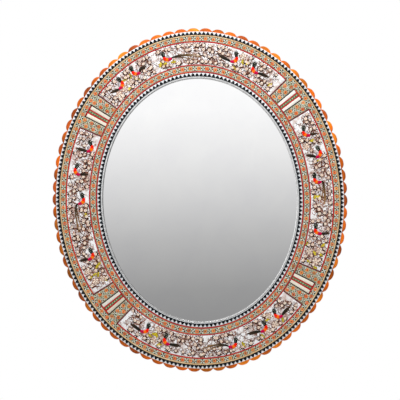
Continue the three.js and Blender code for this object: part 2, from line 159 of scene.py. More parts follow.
# Painted shade on the rim: it is painted darker round one lobe, at the lower left: by what share, and for how
# many lobes
SHADED_LOBE = 53.5
LOWER_LEFT_SHADE = 0.2
SHADE_REACH = 8

# Birds of the four panels: lobe, offset, way each faces (-1 left, 1 right), how far it leans back in degrees,
# the lobe and offset that its tail bends towards, and those at which the tail ends
Bird = namedtuple("Bird", "lobe offset way lean bend end")
BIRDS = (
    Bird(70.3, 51.0, 1, -29, (69.6, 50), (69.1, 57)),
    Bird(72.0, 51.5, -1, 34, (72.7, 58), (73.2, 50)),
    Bird(75.3, 48.2, -1, 33, (76.2, 54), (78.7, 43)),
    Bird(4.0, 49.7, 1, 10, (3.0, 47), (2.3, 51)),
    Bird(6.1, 47.7, -1, -12, (6.9, 52), (7.6, 53)),
    Bird(13.8, 44.4, -1, 10, (13.95, 56), (14.15, 65)),
    Bird(15.9, 57.2, 1, -18, (15.8, 42), (15.65, 31)),
    Bird(18.2, 41.3, -1, 14, (17.9, 60), (20.3, 54.5)),
    Bird(22.8, 44.6, -1, 4, (22.85, 60), (22.75, 70)),
    Bird(31.4, 51.4, -1, 28, (30.6, 53), (30.0, 57.5)),
    Bird(33.1, 54.8, 1, -9, (33.8, 50), (34.8, 45.5)),
    Bird(36.4, 57.2, 1, 18, (37.3, 44), (39.4, 53.5)),
    Bird(42.9, 52.2, -1, -13, (42.1, 53), (41.4, 53)),
    Bird(45.1, 50.8, 1, 31, (45.8, 55), (46.6, 55.5)),
    Bird(53.7, 42.6, 1, -13, (53.7, 55), (53.7, 69)),
    Bird(58.8, 40.9, 1, -4, (58.7, 62), (56.1, 53.5)),
    Bird(61.4, 56.6, -1, -16, (61.3, 43), (61.3, 31.5)),
    Bird(63.7, 38.3, 1, -9, (63.4, 52), (63.4, 67)),
)

# Large roses, tufts of olive leaves and places where the ground stays open: lobe and offset
ROSES = (
    (69.5, 41), (70.3, 40), (71.1, 44), (4.6, 62), (14.9, 36), (24.4, 58), (25.4, 57), (24.7, 39),
    (26.0, 36), (32.1, 61), (32.05, 39.5), (33.0, 62.5), (43.95, 59), (44.05, 36.5), (51.5, 56),
    (52.6, 61), (51.4, 41),
)
OLIVES = (
    (70.8, 52), (71.35, 53.5), (70.6, 38), (71.7, 38), (74.6, 40), (74.95, 43), (75.85, 36), (4.85, 53),
    (5.15, 55), (4.3, 36), (8.2, 42), (14.45, 51), (16.3, 54), (19.5, 41), (19.7, 37.5), (23.8, 60),
    (24.6, 64), (25.8, 60), (25.7, 44), (24.1, 33), (24.8, 48), (31.4, 63), (32.35, 46), (35.6, 62),
    (43.3, 65), (43.85, 46), (44.25, 45), (44.5, 57), (33.5, 64), (52.1, 63), (52.2, 52), (51.9, 43),
    (52.75, 42), (52.7, 34), (57.6, 38), (51.2, 39),
)
OPENINGS = (
    (74.1, 58), (74.2, 48), (74.1, 38), (8.5, 62), (8.5, 50), (8.6, 37), (12.5, 34), (13.0, 36),
    (12.5, 45), (15.1, 33), (16.5, 33), (17.2, 36), (21.5, 33), (29.4, 50), (29.4, 38), (35.1, 60),
    (35.3, 48), (35.2, 36), (38.2, 42), (39.0, 37), (40.9, 50), (34.6, 55), (47.3, 60), (47.3, 45),
    (45.4, 36), (54.9, 33), (59.6, 34), (59.8, 65), (62.6, 65), (64.8, 38), (50.9, 66),
)

# Pitch of the sprigs in the top, right, bottom and left panel, closer where the painting is denser
SPRIG_PITCH = (5.8 * MM, 4.5 * MM, 5.0 * MM, 4.3 * MM)
SPRAY_PITCH = 11.6 * MM
ROSE_SIZE = 13.5 * MM
BRANCH_WAVE = 58 * MM

# How far both keep from a panel's edge, a bird's head, body and tail, a large rose and an open place
Room = namedtuple("Room", "edge head body tail rose opening")
SPRIG_ROOM = Room(3 * MM, 7 * MM, 5 * MM, 0, 0, 6 * MM)
SPRAY_ROOM = Room(4.5 * MM, 9 * MM, 7.5 * MM, 5.5 * MM, 8.5 * MM, 8 * MM)

# Drawing of a bird in millimetres about the middle of its body, facing left.
# Tail feathers: turn aside, share of the length, half width and lift. Wing feathers: place, angle, length and
# lift. Crest feathers: place, angle and length. Bars of the neck: place. Legs: place and angle.
RUMP = (7.0, -4.4)
TAIL_STEPS = 18
LONG_TAIL = 40 * MM
TAIL_FEATHERS = ((0, 1.0, 1.5, 0.25), (0.10, 0.85, 1.4, 0.12), (-0.10, 0.78, 1.4, 0.0))
WING_FEATHERS = (((-0.4, 3.2), -36, 8.5, 0.1), ((0.2, 3.8), -20, 7.0, 0.2), ((0.6, 4.4), -2, 5.0, 0.3))
CREST_FEATHERS = (
    ((0.4, 15.2), 62, 4.6), ((-0.6, 15.8), 90, 4.8), ((-1.6, 15.6), 118, 3.6), ((0.8, 14.2), 35, 4.0),
)
NECK_BARS = ((-1.0, 9.0), (-0.2, 11.2), (0.8, 13.4))
LEGS = (((1.4, -4.4), 262), ((3.0, -5.0), 290))

# Lamp, what it points at, and the brightness of the wall that the glass reflects, from low to high
LAMP_PLACE = (0.0, -0.8, 1.1)
LAMP_AIM = (0.0, 0.0, 0.2)
REFLECTED_WALL = (
    (0.0, 0.62), (0.16, 0.575), (0.28, 0.565), (0.34, 0.605), (0.43, 0.72), (0.5, 0.82), (0.58, 0.915),
    (0.66, 0.985), (0.72, 1.0), (1.0, 1.0),
)


def lengths_setting(name, description, default, low=0.0, high=0.05):
    return bpy.props.FloatProperty(
        name=name, description=description, default=default, min=low, max=high, precision=5,
        subtype="DISTANCE", unit="LENGTH",
    )


def colour_setting(name, description, default):
    return bpy.props.FloatVectorProperty(
        name=name, description=description, default=default, min=0.0, max=1.0, size=3, subtype="COLOR_GAMMA",
    )


class MirrorSizes(bpy.types.PropertyGroup):
    """Sizes of the carving and painting that the solids leave open"""

    edge_round: lengths_setting("Edge round", "Rounding of the front edges of the inlaid boards", 0.35 * MM)
    fillet_crown: lengths_setting("Fillet crown", "Height of the crown of the red lines", 0.7 * MM)
    lobe_fall: lengths_setting("Lobe fall", "How far a lobe's front rounds back at its outer edge", 5 * MM)
    valley_fall: lengths_setting("Valley fall", "How far the rim's front dips between two lobes", 1.6 * MM)
    tooth_wobble: lengths_setting("Tooth wobble", "How far the points of the dogtooth stray", 0.35 * MM)
    flower_size: lengths_setting("Flower", "Diameter of the orange flowers", 8.6 * MM)
    relief: lengths_setting("Relief", "Height of the painted ornament over its ground", 0.55 * MM)
    bird_scale: bpy.props.FloatProperty(
        name="Bird scale", description="Size of the birds against their drawing",
        default=1.0, min=0.5, max=1.2,
    )
    outer_flowers: bpy.props.IntProperty(
        name="Outer flowers", description="Flowers round the outer strip", default=117, min=20, max=200,
    )
    inner_flowers: bpy.props.IntProperty(
        name="Inner flowers", description="Flowers round the inner strip", default=91, min=20, max=200,
    )
    seed: bpy.props.IntProperty(
        name="Seed", description="Start of the random draws for tones and small strays", default=11, min=0,
    )


class MirrorColours(bpy.types.PropertyGroup):
    """Colours of the finishes, as they look on a screen"""

    amber: colour_setting("Amber varnish", "Lightest tone of the rim's lobes", (0.94, 0.51, 0.12))
    orange: colour_setting("Orange varnish", "Middle tone of the rim's lobes", (0.89, 0.42, 0.08))
    russet: colour_setting("Russet varnish", "Darkest tone of the rim's lobes", (0.73, 0.33, 0.10))
    bone: colour_setting("Bone", "White strips under the dogtooth", (0.99, 0.99, 1.0))
    horn: colour_setting("Horn", "Black dogtooth", (0.03, 0.04, 0.06))
    gold: colour_setting("Gold", "Bead beside the outer dogtooth", (0.88, 0.74, 0.55))
    red: colour_setting("Red lacquer", "Red lines", (0.74, 0.07, 0.11))
    vermilion: colour_setting("Vermilion", "Warm patches in the red lines", (0.85, 0.30, 0.12))
    wine: colour_setting("Wine", "Lines at the ends of the four panels", (0.45, 0.16, 0.20))
    violet: colour_setting("Dark violet", "Dark lines beside the striped tiles", (0.24, 0.13, 0.17))
    cream: colour_setting("Cream", "Planks of the striped tiles", (0.95, 0.91, 0.82))
    sage: colour_setting("Sage", "Ground of the flower strips", (0.71, 0.69, 0.58))
    petal: colour_setting("Orange petal", "Petals in the strips", (0.92, 0.38, 0.13))
    blush: colour_setting("Blush petal", "Lighter petals in the strips", (0.94, 0.56, 0.26))
    heart: colour_setting("Flower heart", "Hearts of the orange flowers", (0.36, 0.10, 0.07))
    leaf: colour_setting("Leaf", "Light leaves", (0.55, 0.58, 0.26))
    forest: colour_setting("Forest", "Dark green leaves", (0.05, 0.12, 0.07))
    sky: colour_setting("Pale blue", "Crosses between the flowers", (0.92, 0.95, 0.96))
    ground: colour_setting("Frieze ground", "Pale ground of the four panels", (0.99, 0.99, 1.0))
    rose: colour_setting("Rose", "Light petals of the roses", (1.0, 0.93, 0.86))
    shell: colour_setting("Shell", "Shaded petals of the roses", (0.91, 0.79, 0.71))
    umber: colour_setting("Umber", "Stems and outlines of the frieze", (0.38, 0.20, 0.13))
    taupe: colour_setting("Taupe", "Light leaves of the frieze", (0.55, 0.35, 0.26))
    straw: colour_setting("Straw", "Ends of the longest tails", (0.62, 0.46, 0.26))
    olive: colour_setting("Olive", "Olive leaves of the frieze", (0.72, 0.64, 0.12))
    plume: colour_setting("Plume", "Heads and tails of the birds", (0.07, 0.08, 0.06))
    breast: colour_setting("Breast", "Red breasts of the birds", (0.98, 0.12, 0.01))
    belly: colour_setting("Belly", "Orange bellies of the birds", (1.0, 0.50, 0.0))
    rump: colour_setting("Rump", "Magenta rumps of the birds", (0.78, 0.0, 0.27))
    wood: colour_setting("Bare wood", "Wood of the carcass", (0.70, 0.55, 0.38))


class MirrorStage(bpy.types.PropertyGroup):
    """Camera, lamp, sky and floor"""

    camera_distance: lengths_setting("Camera distance", "From the wall to the camera", 2.28, 0.5, 10)
    camera_roll: bpy.props.FloatProperty(
        name="Camera roll", description="Turn of the camera about its view", default=math.radians(2.3),
        subtype="ANGLE", unit="ROTATION",
    )
    sky: bpy.props.FloatProperty(
        name="Sky", description="Light of the sky on matt surfaces", default=0.62, min=0, max=2,
    )
    lamp: bpy.props.FloatProperty(
        name="Lamp", description="Power of the soft lamp above the front", default=12, min=0, max=100,
        subtype="POWER", unit="POWER",
    )
    lamp_size: lengths_setting("Lamp size", "Side of the lamp", 0.8, 0.1, 3)
    floor_level: lengths_setting("Floor level", "Height of the floor", -1.2, -3, -0.4)
    floor_reach: lengths_setting("Floor reach", "From the middle of the floor to its edge", 2.0, 0.5, 5)


def sizes():
    return bpy.context.scene.mirror_sizes


def colours():
    return bpy.context.scene.mirror_colours


def draws(stream):
    """Random draws of one piece, the same each run"""
    return np.random.default_rng([sizes().seed, stream])


# Places on the oval


def ellipse_point(turns, offsets):
    """(a sin t, b cos t) plus the offset along the outward normal (b sin t, a cos t) over its length"""
    sine, cosine = np.sin(turns), np.cos(turns)
    normal = np.stack([HALF_HEIGHT * sine, HALF_WIDTH * cosine], -1)
    normal /= np.linalg.norm(normal, axis=-1, keepdims=True)
    return np.stack([HALF_WIDTH * sine, HALF_HEIGHT * cosine], -1) + np.asarray(offsets)[..., None] * normal


def lay_bands():
    """Inner and outer offset of each band: widths added up, with the clearance between two bands"""
    edges = {}
    edge = 0.0
    for name, width in BAND_WIDTHS.items():
        edges[name] = (edge, edge + width)
        edge += width + GAP
    return edges


def running_length(offset):
    """Length of a line round the oval up to each step, as the sum of its chords"""
    line = ellipse_point(STEPS, np.full(STEPS.shape, offset))
    chords = np.linalg.norm(np.diff(line, axis=0), axis=1)
    return np.concatenate([[0.0], np.cumsum(chords)])


BANDS = lay_bands()
VALLEY_LINE = BANDS["outer_teeth"][1] + LOBE_LAND
CREST_LINE = VALLEY_LINE + LOBE_DEPTH
RIM_EDGE = sum(BANDS["bead"]) / 2 + GAP / 2
FRIEZE_MIDDLE = sum(BANDS["frieze"]) / 2
STEPS = np.linspace(0, 2 * np.pi, 7801)
LOBE_AT_STEP = LOBES * running_length(CREST_LINE) / running_length(CREST_LINE)[-1]
LOBE_PITCH = running_length(FRIEZE_MIDDLE)[-1] / LOBES
CREST_PITCH = running_length(CREST_LINE)[-1] / LOBES
SEAM = GAP / (running_length(0.0)[-1] / LOBES)


def oval(lobes, offsets):
    """Point of the ellipse's parallel line at an offset. The lobe count gives the turn t, and lobes are equal
    lengths of the crest line apart."""
    lobes = np.asarray(lobes, dtype=float)
    rounds = np.floor(lobes / LOBES)
    turns = np.interp(lobes - rounds * LOBES, LOBE_AT_STEP, STEPS)
    return ellipse_point(turns, np.broadcast_to(offsets, lobes.shape))


def heading(lobes):
    """Angle of the clockwise direction round the oval: the outward normal turned back by a right angle"""
    outward = oval(lobes, 1.0) - oval(lobes, 0.0)
    return np.arctan2(outward[..., 1], outward[..., 0]) - np.pi / 2


def lobes_along(offset, shares):
    """Lobe counts at shares of the way round a line, found in its running length"""
    lengths = running_length(offset)
    return np.interp(np.asarray(shares) * lengths[-1], lengths, LOBE_AT_STEP)


def stations(start, end, per_lobe):
    return np.linspace(start, end, max(3, int(round((end - start) * per_lobe)) + 1))


# Shapes: each is a dictionary of corners, faces, paint and the number of its finish


def linear(colour):
    """Screen colour to light: c / 12.92 up to 0.04045, above it ((c + 0.055) / 1.055) to the power 2.4"""
    shown = np.asarray(colour, dtype=float)
    return np.where(shown <= 0.04045, shown / 12.92, ((shown + 0.055) / 1.055) ** 2.4)


def between(first, second, count, source, spread=0.08):
    """Colours on the straight line between two, each lightened or darkened a little"""
    share = source.random(count)[:, None]
    tone = 1 + spread * source.standard_normal(count)[:, None]
    mixed = (1 - share) * np.asarray(first) + share * np.asarray(second)
    return linear(np.clip(mixed * tone, 0.01, 1.0))


def shape_of(corners, faces, paint=(1.0, 1.0, 1.0), finish=0):
    corners = corners.reshape(-1, 3)
    paint = np.broadcast_to(paint, corners.shape)
    return {"corners": corners, "faces": faces, "paint": paint, "finish": finish}


def joined(here, there, size, mirrored=False):
    """Four-cornered faces between closed rows of corners, from the number of each row's first corner"""
    corner = np.arange(size)
    after = (corner + 1) % size
    around = [here + corner, here + after, there + after, there + corner]
    if mirrored:
        around = around[:1] + around[:0:-1]
    return np.stack(around, -1).reshape(-1, 4)


def varied_section(shares, depths):
    """Section that changes from station to station: for each corner a row of shares, at one depth"""
    rows = [np.stack([share, np.full(len(share), depth)], -1) for share, depth in zip(shares, depths)]
    return np.stack(rows, 1)


def rotated(points, angle):
    """(x cos a - y sin a, x sin a + y cos a)"""
    x, y = points[..., 0], points[..., 1]
    cosine, sine = np.cos(angle), np.sin(angle)
    return np.stack([x * cosine - y * sine, x * sine + y * cosine], -1)


def carry(inner, outer, section, paint=(1.0, 1.0, 1.0), closed=False, finish=0):
    """Section carried along two lines: corner = inner + share * (outer - inner), at the section's depth"""
    inner, outer = np.asarray(inner), np.asarray(outer)
    section = np.asarray(section, dtype=float)
    count = len(inner)
    size = section.shape[-2]
    section = np.broadcast_to(section, (count, size, 2))
    flat = inner[:, None, :] + section[..., :1] * (outer - inner)[:, None, :]
    corners = np.stack([flat[..., 0], -section[..., 1], flat[..., 1]], -1)
    station = np.arange(count if closed else count - 1)[:, None]
    faces = [joined(station * size, (station + 1) % count * size, size)]
    if not closed:
        faces.append(np.arange(size)[None, ::-1])
        faces.append(np.arange(size)[None, :] + (count - 1) * size)
    paint = np.broadcast_to(np.asarray(paint, dtype=float), (count, 3))
    return shape_of(corners, faces, np.repeat(paint, size, axis=0), finish)


def board_section(width, back, front, rounding, crown=0.0):
    """Flat board with quarter-round front edges, and a crown that rises as a parabola to the middle"""
    edge = min(rounding / width, 0.45)
    angles = np.linspace(0, np.pi / 2, 4)
    outer = np.stack([1 - edge + edge * np.cos(angles), front - rounding + rounding * np.sin(angles)], -1)
    shares = np.linspace(1 - edge, edge, 5)[1:-1]
    top = np.stack([shares, np.full(3, front)], -1)
    inner = outer[::-1] * [-1, 1] + [1, 0]
    section = np.concatenate([[[0, back], [1, back]], outer, top, inner])
    rise = crown * (1 - (2 * section[:, 0] - 1) ** 2)
    section[2:, 1] += rise[2:] - crown
    return section


def half_round(back, side, front, inset=0.0, count=7):
    """Half ellipse on a square foot: depth = side + (front - side) * sin(a), share = (1 + cos(a)) / 2,
    drawn in from both edges by the inset, a share of the width"""
    angles = np.linspace(0, np.pi, count)
    crown = np.stack([(1 + np.cos(angles)) / 2, side + (front - side) * np.sin(angles)], -1)
    section = np.concatenate([[[0, back], [1, back]], crown])
    section[:, 0] = inset + (1 - 2 * inset) * section[:, 0]
    return section


def widened(band):
    """Band with the room that the narrow red lines leave on both sides"""
    return band[0] - LINE_ROOM, band[1] + LINE_ROOM


def ring(band, section, per_lobe=4, **options):
    lobes = np.arange(LOBES * per_lobe) / per_lobe
    return carry(oval(lobes, band[0]), oval(lobes, band[1]), section, closed=True, **options)


def sector(start, end, inner, outer, section, per_lobe=4, **options):
    """Length of a band between two places, its front falling back at both ends as its long edges do"""
    lobes = stations(start, end, per_lobe)
    ease = END_EASE / LOBE_PITCH
    lobes = np.concatenate([[lobes[0], lobes[0] + ease], lobes[1:-1], [lobes[-1] - ease, lobes[-1]]])
    section = np.repeat(np.asarray(section)[None], len(lobes), axis=0)
    front = section[0, :, 1].max()
    section[[0, -1], :, 1] = np.minimum(section[[0, -1], :, 1], front - END_FALL)
    return carry(oval(lobes, inner), oval(lobes, outer), section, **options)


def domes(centres, turns, lengths, widths, base, rise, paint, sides=6, rings=(1.0,), point=0.0, rooted=False):
    """Low closed mounds: along = s cos(a) / 2, across = s sin(a) |sin(a)|^point / 2 and
    depth = base + rise (1 - s^2), for the scales s of the rings and one corner at s = 0, scaled by length
    and width and turned into place"""
    centres = np.asarray(centres, dtype=float).reshape(-1, 2)
    count = len(centres)
    turns, lengths, widths, base, rise = (
        np.broadcast_to(np.asarray(value, dtype=float), (count,))
        for value in (turns, lengths, widths, base, rise)
    )
    angles = 2 * np.pi * np.arange(sides) / sides
    scales = np.asarray(rings)[:, None]
    along = (scales * np.cos(angles) / 2).ravel()
    across = (scales * np.sin(angles) * np.abs(np.sin(angles)) ** point / 2).ravel()
    lift = np.repeat(1 - np.asarray(rings) ** 2, sides)
    along, across, lift = (np.append(value, end) for value, end in ((along, 0.0), (across, 0.0), (lift, 1.0)))
    if rooted:
        along = along + 0.5
    far = along * lengths[:, None]
    side = across * widths[:, None]
    cosine, sine = np.cos(turns)[:, None], np.sin(turns)[:, None]
    corners = np.stack([
        centres[:, :1] + far * cosine - side * sine,
        -(base[:, None] + rise[:, None] * lift),
        centres[:, 1:] + far * sine + side * cosine,
    ], -1)
    step = np.arange(sides)
    after = (step + 1) % sides
    size = len(along)
    first = (np.arange(count) * size)[:, None]
    faces = []
    for level in range(len(rings) - 1):
        quads = joined(level * sides, (level + 1) * sides, sides)
        faces.append((first[..., None] + quads).reshape(-1, 4))
    low = (len(rings) - 1) * sides
    caps = np.stack([low + step, low + after, np.full(sides, size - 1)], -1)
    faces.append((first[..., None] + caps).reshape(-1, 3))
    faces.append(first + step[::-1])
    paint = np.broadcast_to(np.asarray(paint, dtype=float), (count, 3))
    return shape_of(corners, faces, np.repeat(paint, size, axis=0))


def fans(centres, leans, angles, reach, length, width, base, rise, paint, **options):
    """Mounds that spread from each centre at the given angles from its lean, rooted a reach away from it"""
    angles = np.asarray(angles, dtype=float)
    turns = (leans[:, None] + angles).ravel()
    roots = np.repeat(centres, len(angles), axis=0)
    reach = np.repeat(np.broadcast_to(reach, (len(centres),)), len(angles))
    roots = roots + reach[:, None] * np.stack([np.cos(turns), np.sin(turns)], -1)
    return domes(roots, turns, length, width, base, rise, paint, rooted=True, **options)


def ribbons(lines, half_widths, base, rise, paint):
    """Rounded strokes along lines: five corners across each point, at -1, -0.6, 0, 0.6 and 1 of the half
    width to its left, raised by 0, 0.7, 1, 0.7 and 0 of the rise"""
    lines = np.asarray(lines, dtype=float)
    count, length = lines.shape[:2]
    ahead = np.gradient(lines, axis=1)
    ahead /= np.maximum(np.linalg.norm(ahead, axis=-1, keepdims=True), 1e-9)
    left = np.stack([-ahead[..., 1], ahead[..., 0]], -1)
    shares = np.array([-1, -0.6, 0, 0.6, 1])
    lifts = np.array([0, 0.7, 1, 0.7, 0])
    half_widths = np.broadcast_to(half_widths, (count, length))
    base = np.broadcast_to(base, (count, length))
    rise = np.broadcast_to(rise, (count, length))
    flat = lines[:, :, None, :] + (shares * half_widths[..., None])[..., None] * left[:, :, None, :]
    depth = base[..., None] + rise[..., None] * lifts
    corners = np.stack([flat[..., 0], -depth, flat[..., 1]], -1)
    size = len(shares)
    corner = np.arange(size)
    station = (np.arange(length - 1) * size)[:, None]
    first = (np.arange(count) * length * size)[:, None, None]
    faces = [
        (first + joined(station, station + size, size, mirrored=True)).reshape(-1, 4),
        first[:, 0] + corner,
        first[:, 0] + (length - 1) * size + corner[::-1],
    ]
    paint = np.asarray(paint, dtype=float)
    if paint.ndim == 2:
        paint = paint[:, None, :]
    paint = np.broadcast_to(paint, (count, length, 3))
    return shape_of(corners, faces, np.repeat(paint.reshape(-1, 3), size, axis=0))


def dress(nodes, look, shapes, finishes, body="frame", crease=40, grain=None, name=None):
    """Joins shapes into one mesh that takes the place of solids: corners end to end, and face indices moved
    on by the corners before them"""
    name = name or f"{nodes[0]}_{look}"
    first = np.cumsum([0] + [len(shape["corners"]) for shape in shapes])
    corners = np.concatenate([shape["corners"] for shape in shapes])
    loops, face_sizes, face_finishes = [], [], []
    for shape, start in zip(shapes, first):
        for faces in shape["faces"]:
            loops.append((faces + start).ravel())
            face_sizes.append(np.full(len(faces), faces.shape[1]))
            face_finishes.append(np.full(len(faces), shape["finish"]))
    loops = np.concatenate(loops).astype(np.int32)
    face_sizes = np.concatenate(face_sizes)
    starts = np.concatenate([[0], np.cumsum(face_sizes)[:-1]]).astype(np.int32)
    mesh = bpy.data.meshes.new(name)
    mesh.vertices.add(len(corners))
    mesh.loops.add(len(loops))
    mesh.polygons.add(len(face_sizes))
    mesh.vertices.foreach_set("co", corners.astype(np.float32).ravel())
    mesh.loops.foreach_set("vertex_index", loops)
    mesh.polygons.foreach_set("loop_start", starts)
    mesh.polygons.foreach_set("material_index", np.concatenate(face_finishes).astype(np.int32))
    mesh.polygons.foreach_set("use_smooth", np.ones(len(face_sizes), dtype=bool))
    mesh.update(calc_edges=True)
    paint = np.concatenate([shape["paint"] for shape in shapes])
    opaque = np.concatenate([paint, np.ones((len(paint), 1))], 1)
    layer = mesh.color_attributes.new("paint", "FLOAT_COLOR", "POINT")
    layer.data.foreach_set("color", opaque.astype(np.float32).ravel())
    if grain is not None:
        along = mesh.attributes.new("grain", "FLOAT_VECTOR", "POINT")
        along.data.foreach_set("vector", grain.astype(np.float32).ravel())
    mesh.set_sharp_from_angle(angle=math.radians(crease))
    if mesh.validate():
        raise RuntimeError(f"{name} had faces that don't hold together")
    for finish in finishes:
        mesh.materials.append(finish)
    piece = bpy.data.objects.new(name, mesh)
    bpy.context.scene.collection.objects.link(piece)
    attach(piece, body)
    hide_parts(*nodes)


# Finishes


class Finish:
    """A material with its node tree, and short ways to add the nodes that the finishes share"""

    def __init__(self, name, roughness, metallic=0.0, specular=0.4):
        self.material = bpy.data.materials.new(name)
        self.material.use_nodes = True
        self.nodes = self.material.node_tree.nodes
        self.links = self.material.node_tree.links
        self.shader = self.nodes["Principled BSDF"]
        self.shader.inputs["Metallic"].default_value = metallic
        self.shader.inputs["Specular IOR Level"].default_value = specular
        self.place = self.nodes.new("ShaderNodeTexCoord").outputs["Object"]
        self.roughness = roughness

    def attribute(self, name, output="Color"):
        node = self.nodes.new("ShaderNodeAttribute")
        node.attribute_name = name
        return node.outputs[output]

    def stretched(self, scale, place=None):
        """Place with each axis multiplied by its own number, so that a pattern runs long where it is small"""
        node = self.nodes.new("ShaderNodeMapping")
        node.inputs["Scale"].default_value = scale
        self.links.new(place or self.place, node.inputs["Vector"])
        return node.outputs["Vector"]

    def noise(self, scale, detail=3.0, distortion=0.0, place=None):
        node = self.nodes.new("ShaderNodeTexNoise")
        node.inputs["Scale"].default_value = scale
        node.inputs["Detail"].default_value = detail
        node.inputs["Distortion"].default_value = distortion
        self.links.new(place or self.place, node.inputs["Vector"])
        return node.outputs["Fac"]

    def span(self, value, low, high, to_low=0.0, to_high=1.0):
        node = self.nodes.new("ShaderNodeMapRange")
        for name, number in (("From Min", low), ("From Max", high), ("To Min", to_low), ("To Max", to_high)):
            node.inputs[name].default_value = number
        self.links.new(value, node.inputs["Value"])
        return node.outputs["Result"]

    def mix(self, share, first, second, blend="MIX"):
        node = self.nodes.new("ShaderNodeMix")
        node.data_type = "RGBA"
        node.blend_type = blend
        ends = (("Factor_Float", share), ("A_Color", first), ("B_Color", second))
        for name, value in ends:
            socket = next(entry for entry in node.inputs if entry.identifier == name)
            if isinstance(value, bpy.types.NodeSocket):
                self.links.new(value, socket)
            elif name == "Factor_Float":
                socket.default_value = value
            else:
                socket.default_value = (*linear(value), 1.0)
        return next(entry for entry in node.outputs if entry.identifier == "Result_Color")

    def toned(self, colour, value, amount):
        """Colour times 1 - amount to 1 + amount, as the value runs from 0.3 to 0.7"""
        tone = self.span(value, 0.3, 0.7, 1 - amount, 1 + amount)
        grey = self.nodes.new("ShaderNodeCombineColor")
        for channel in grey.inputs:
            self.links.new(tone, channel)
        return self.mix(1.0, colour, grey.outputs["Color"], "MULTIPLY")

    def vector_maths(self, operation, value, second=None):
        """A number made of a vector: its length, or its product with a fixed one"""
        node = self.nodes.new("ShaderNodeVectorMath")
        node.operation = operation
        self.links.new(value, node.inputs[0])
        if second is not None:
            node.inputs[1].default_value = second
        return node.outputs["Value"]

    def bump(self, value, height):
        node = self.nodes.new("ShaderNodeBump")
        node.inputs["Strength"].default_value = 1.0
        node.inputs["Distance"].default_value = height
        self.links.new(value, node.inputs["Height"])
        if self.shader.inputs["Normal"].is_linked:
            self.links.new(self.shader.inputs["Normal"].links[0].from_socket, node.inputs["Normal"])
        self.links.new(node.outputs["Normal"], self.shader.inputs["Normal"])

    def done(self, colour, roughness_noise, spread=0.1):
        self.links.new(colour, self.shader.inputs["Base Color"])
        rough = self.span(roughness_noise, 0.3, 0.7, self.roughness - spread, self.roughness + spread)
        self.links.new(rough, self.shader.inputs["Roughness"])
        return self.material


def painted_finish(name, roughness=0.5, stroke=900, amount=0.10, depth=0.04 * MM, specular=0.22):
    """Paint of the shapes' own colours, with brush marks and a slow change of tone"""
    finish = Finish(name, roughness, specular=specular)
    marks = finish.noise(stroke, 4.0, 0.4)
    colour = finish.toned(finish.attribute("paint"), marks, amount)
    colour = finish.toned(colour, finish.noise(60, 2.0), amount * 0.6)
    finish.bump(marks, depth)
    return finish.done(colour, finish.noise(250, 2.0))


def patched_finish(name, first, second, scale, roughness=0.5, third=None, share=(0.4, 0.6)):
    """Two colours in soft patches with fine specks, and an optional third where a slow noise is high"""
    finish = Finish(name, roughness)
    patches = finish.span(finish.noise(scale, 3.0, 0.3), share[0], share[1])
    colour = finish.mix(patches, first, second)
    if third is not None:
        colour = finish.mix(finish.span(finish.noise(scale * 0.45, 3.0, 0.6), 0.5, 0.66), colour, third)
    specks = finish.noise(1500, 4.0)
    colour = finish.toned(colour, specks, 0.09)
    finish.bump(specks, 0.03 * MM)
    return finish.done(colour, finish.noise(220, 2.0))


def wood_finish(name, colour, across, roughness=0.6, place=None, tone=0.16, specular=0.4):
    """Grain: noise drawn out along the wood, in slow bands and fine pores. Without a colour the wood takes
    the shapes' paint. Otherwise it is bare, but grey on the wall of the opening, where the square root of
    (x / half width)^2 + (z / half height)^2 is up to 1.002. That grey carries painted light and shade: paler
    towards the upper right, darker towards the lower left."""
    finish = Finish(name, roughness, specular=specular)
    source = finish.attribute(place, "Vector") if place else None
    slow = finish.noise(1.0, 3.0, 1.2, finish.stretched([8 if flag else 110 for flag in across], source))
    pores = finish.noise(1.0, 5.0, 0.2, finish.stretched([30 if flag else 1400 for flag in across], source))
    if colour is None:
        base = finish.attribute("paint")
    else:
        across_oval = finish.stretched((1 / HALF_WIDTH, 0, 1 / HALF_HEIGHT))
        wall = finish.span(finish.vector_maths("LENGTH", across_oval), 1.002, 1.003)
        # Painted light and shade: the grey of the wall runs from dark at the lower left to pale at the upper
        # right
        height = finish.span(finish.vector_maths("DOT_PRODUCT", across_oval, (1, 0, 0.6)), -1, 1)
        grey = finish.mix(height, (0.42, 0.42, 0.42), (0.97, 0.97, 0.97))
        base = finish.mix(wall, grey, colour)
    base = finish.toned(base, slow, tone)
    base = finish.toned(base, pores, tone * 0.7)
    finish.bump(pores, 0.06 * MM)
    return finish.done(base, slow, 0.08)


def metal_finish(name, colour, roughness, brushed=0.12):
    finish = Finish(name, roughness, metallic=1.0)
    stains = finish.noise(140, 4.0, 0.5)
    scratches = finish.noise(1.0, 3.0, 0.0, finish.stretched((300, 300, 4000)))
    shade = tuple(0.72 * part for part in colour)
    base = finish.mix(finish.span(stains, 0.45, 0.75, 0.0, 0.8), colour, shade)
    finish.bump(scratches, 0.01 * MM)
    return finish.done(base, scratches, brushed)


def mirror_finish(name):
    """Silvered glass: clear, with the faintest clouds of dust in its tone and gloss"""
    finish = Finish(name, 0.03, metallic=1.0)
    clouds = finish.noise(14, 3.0, 0.4)
    colour = finish.mix(finish.span(clouds, 0.35, 0.7), (1.0, 1.0, 1.0), (0.985, 0.985, 0.99))
    return finish.done(colour, clouds, 0.012)


def coat_node(names, finish):
    """Gives carried-over solids their finish"""
    for name in names:
        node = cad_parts[name]
        if not node.material_slots:
            node.data.materials.append(finish)
        for slot in node.material_slots:
            slot.material = finish


# Ornament of the flower strips and blocks

QUARTERS = np.radians([0, 90, 180, 270])
FIFTHS = np.radians([0, 72, 144, 216, 288])
EIGHTHS = np.radians([0, 45, 90, 135, 180, 225, 270, 315])
CORNER_LEAVES = np.radians([28, 152, 208, 332])


def round_mounds(centres, turns, size, base, rise, paint, sides=6):
    return domes(centres, turns, size, size, base, rise, paint, sides=sides)


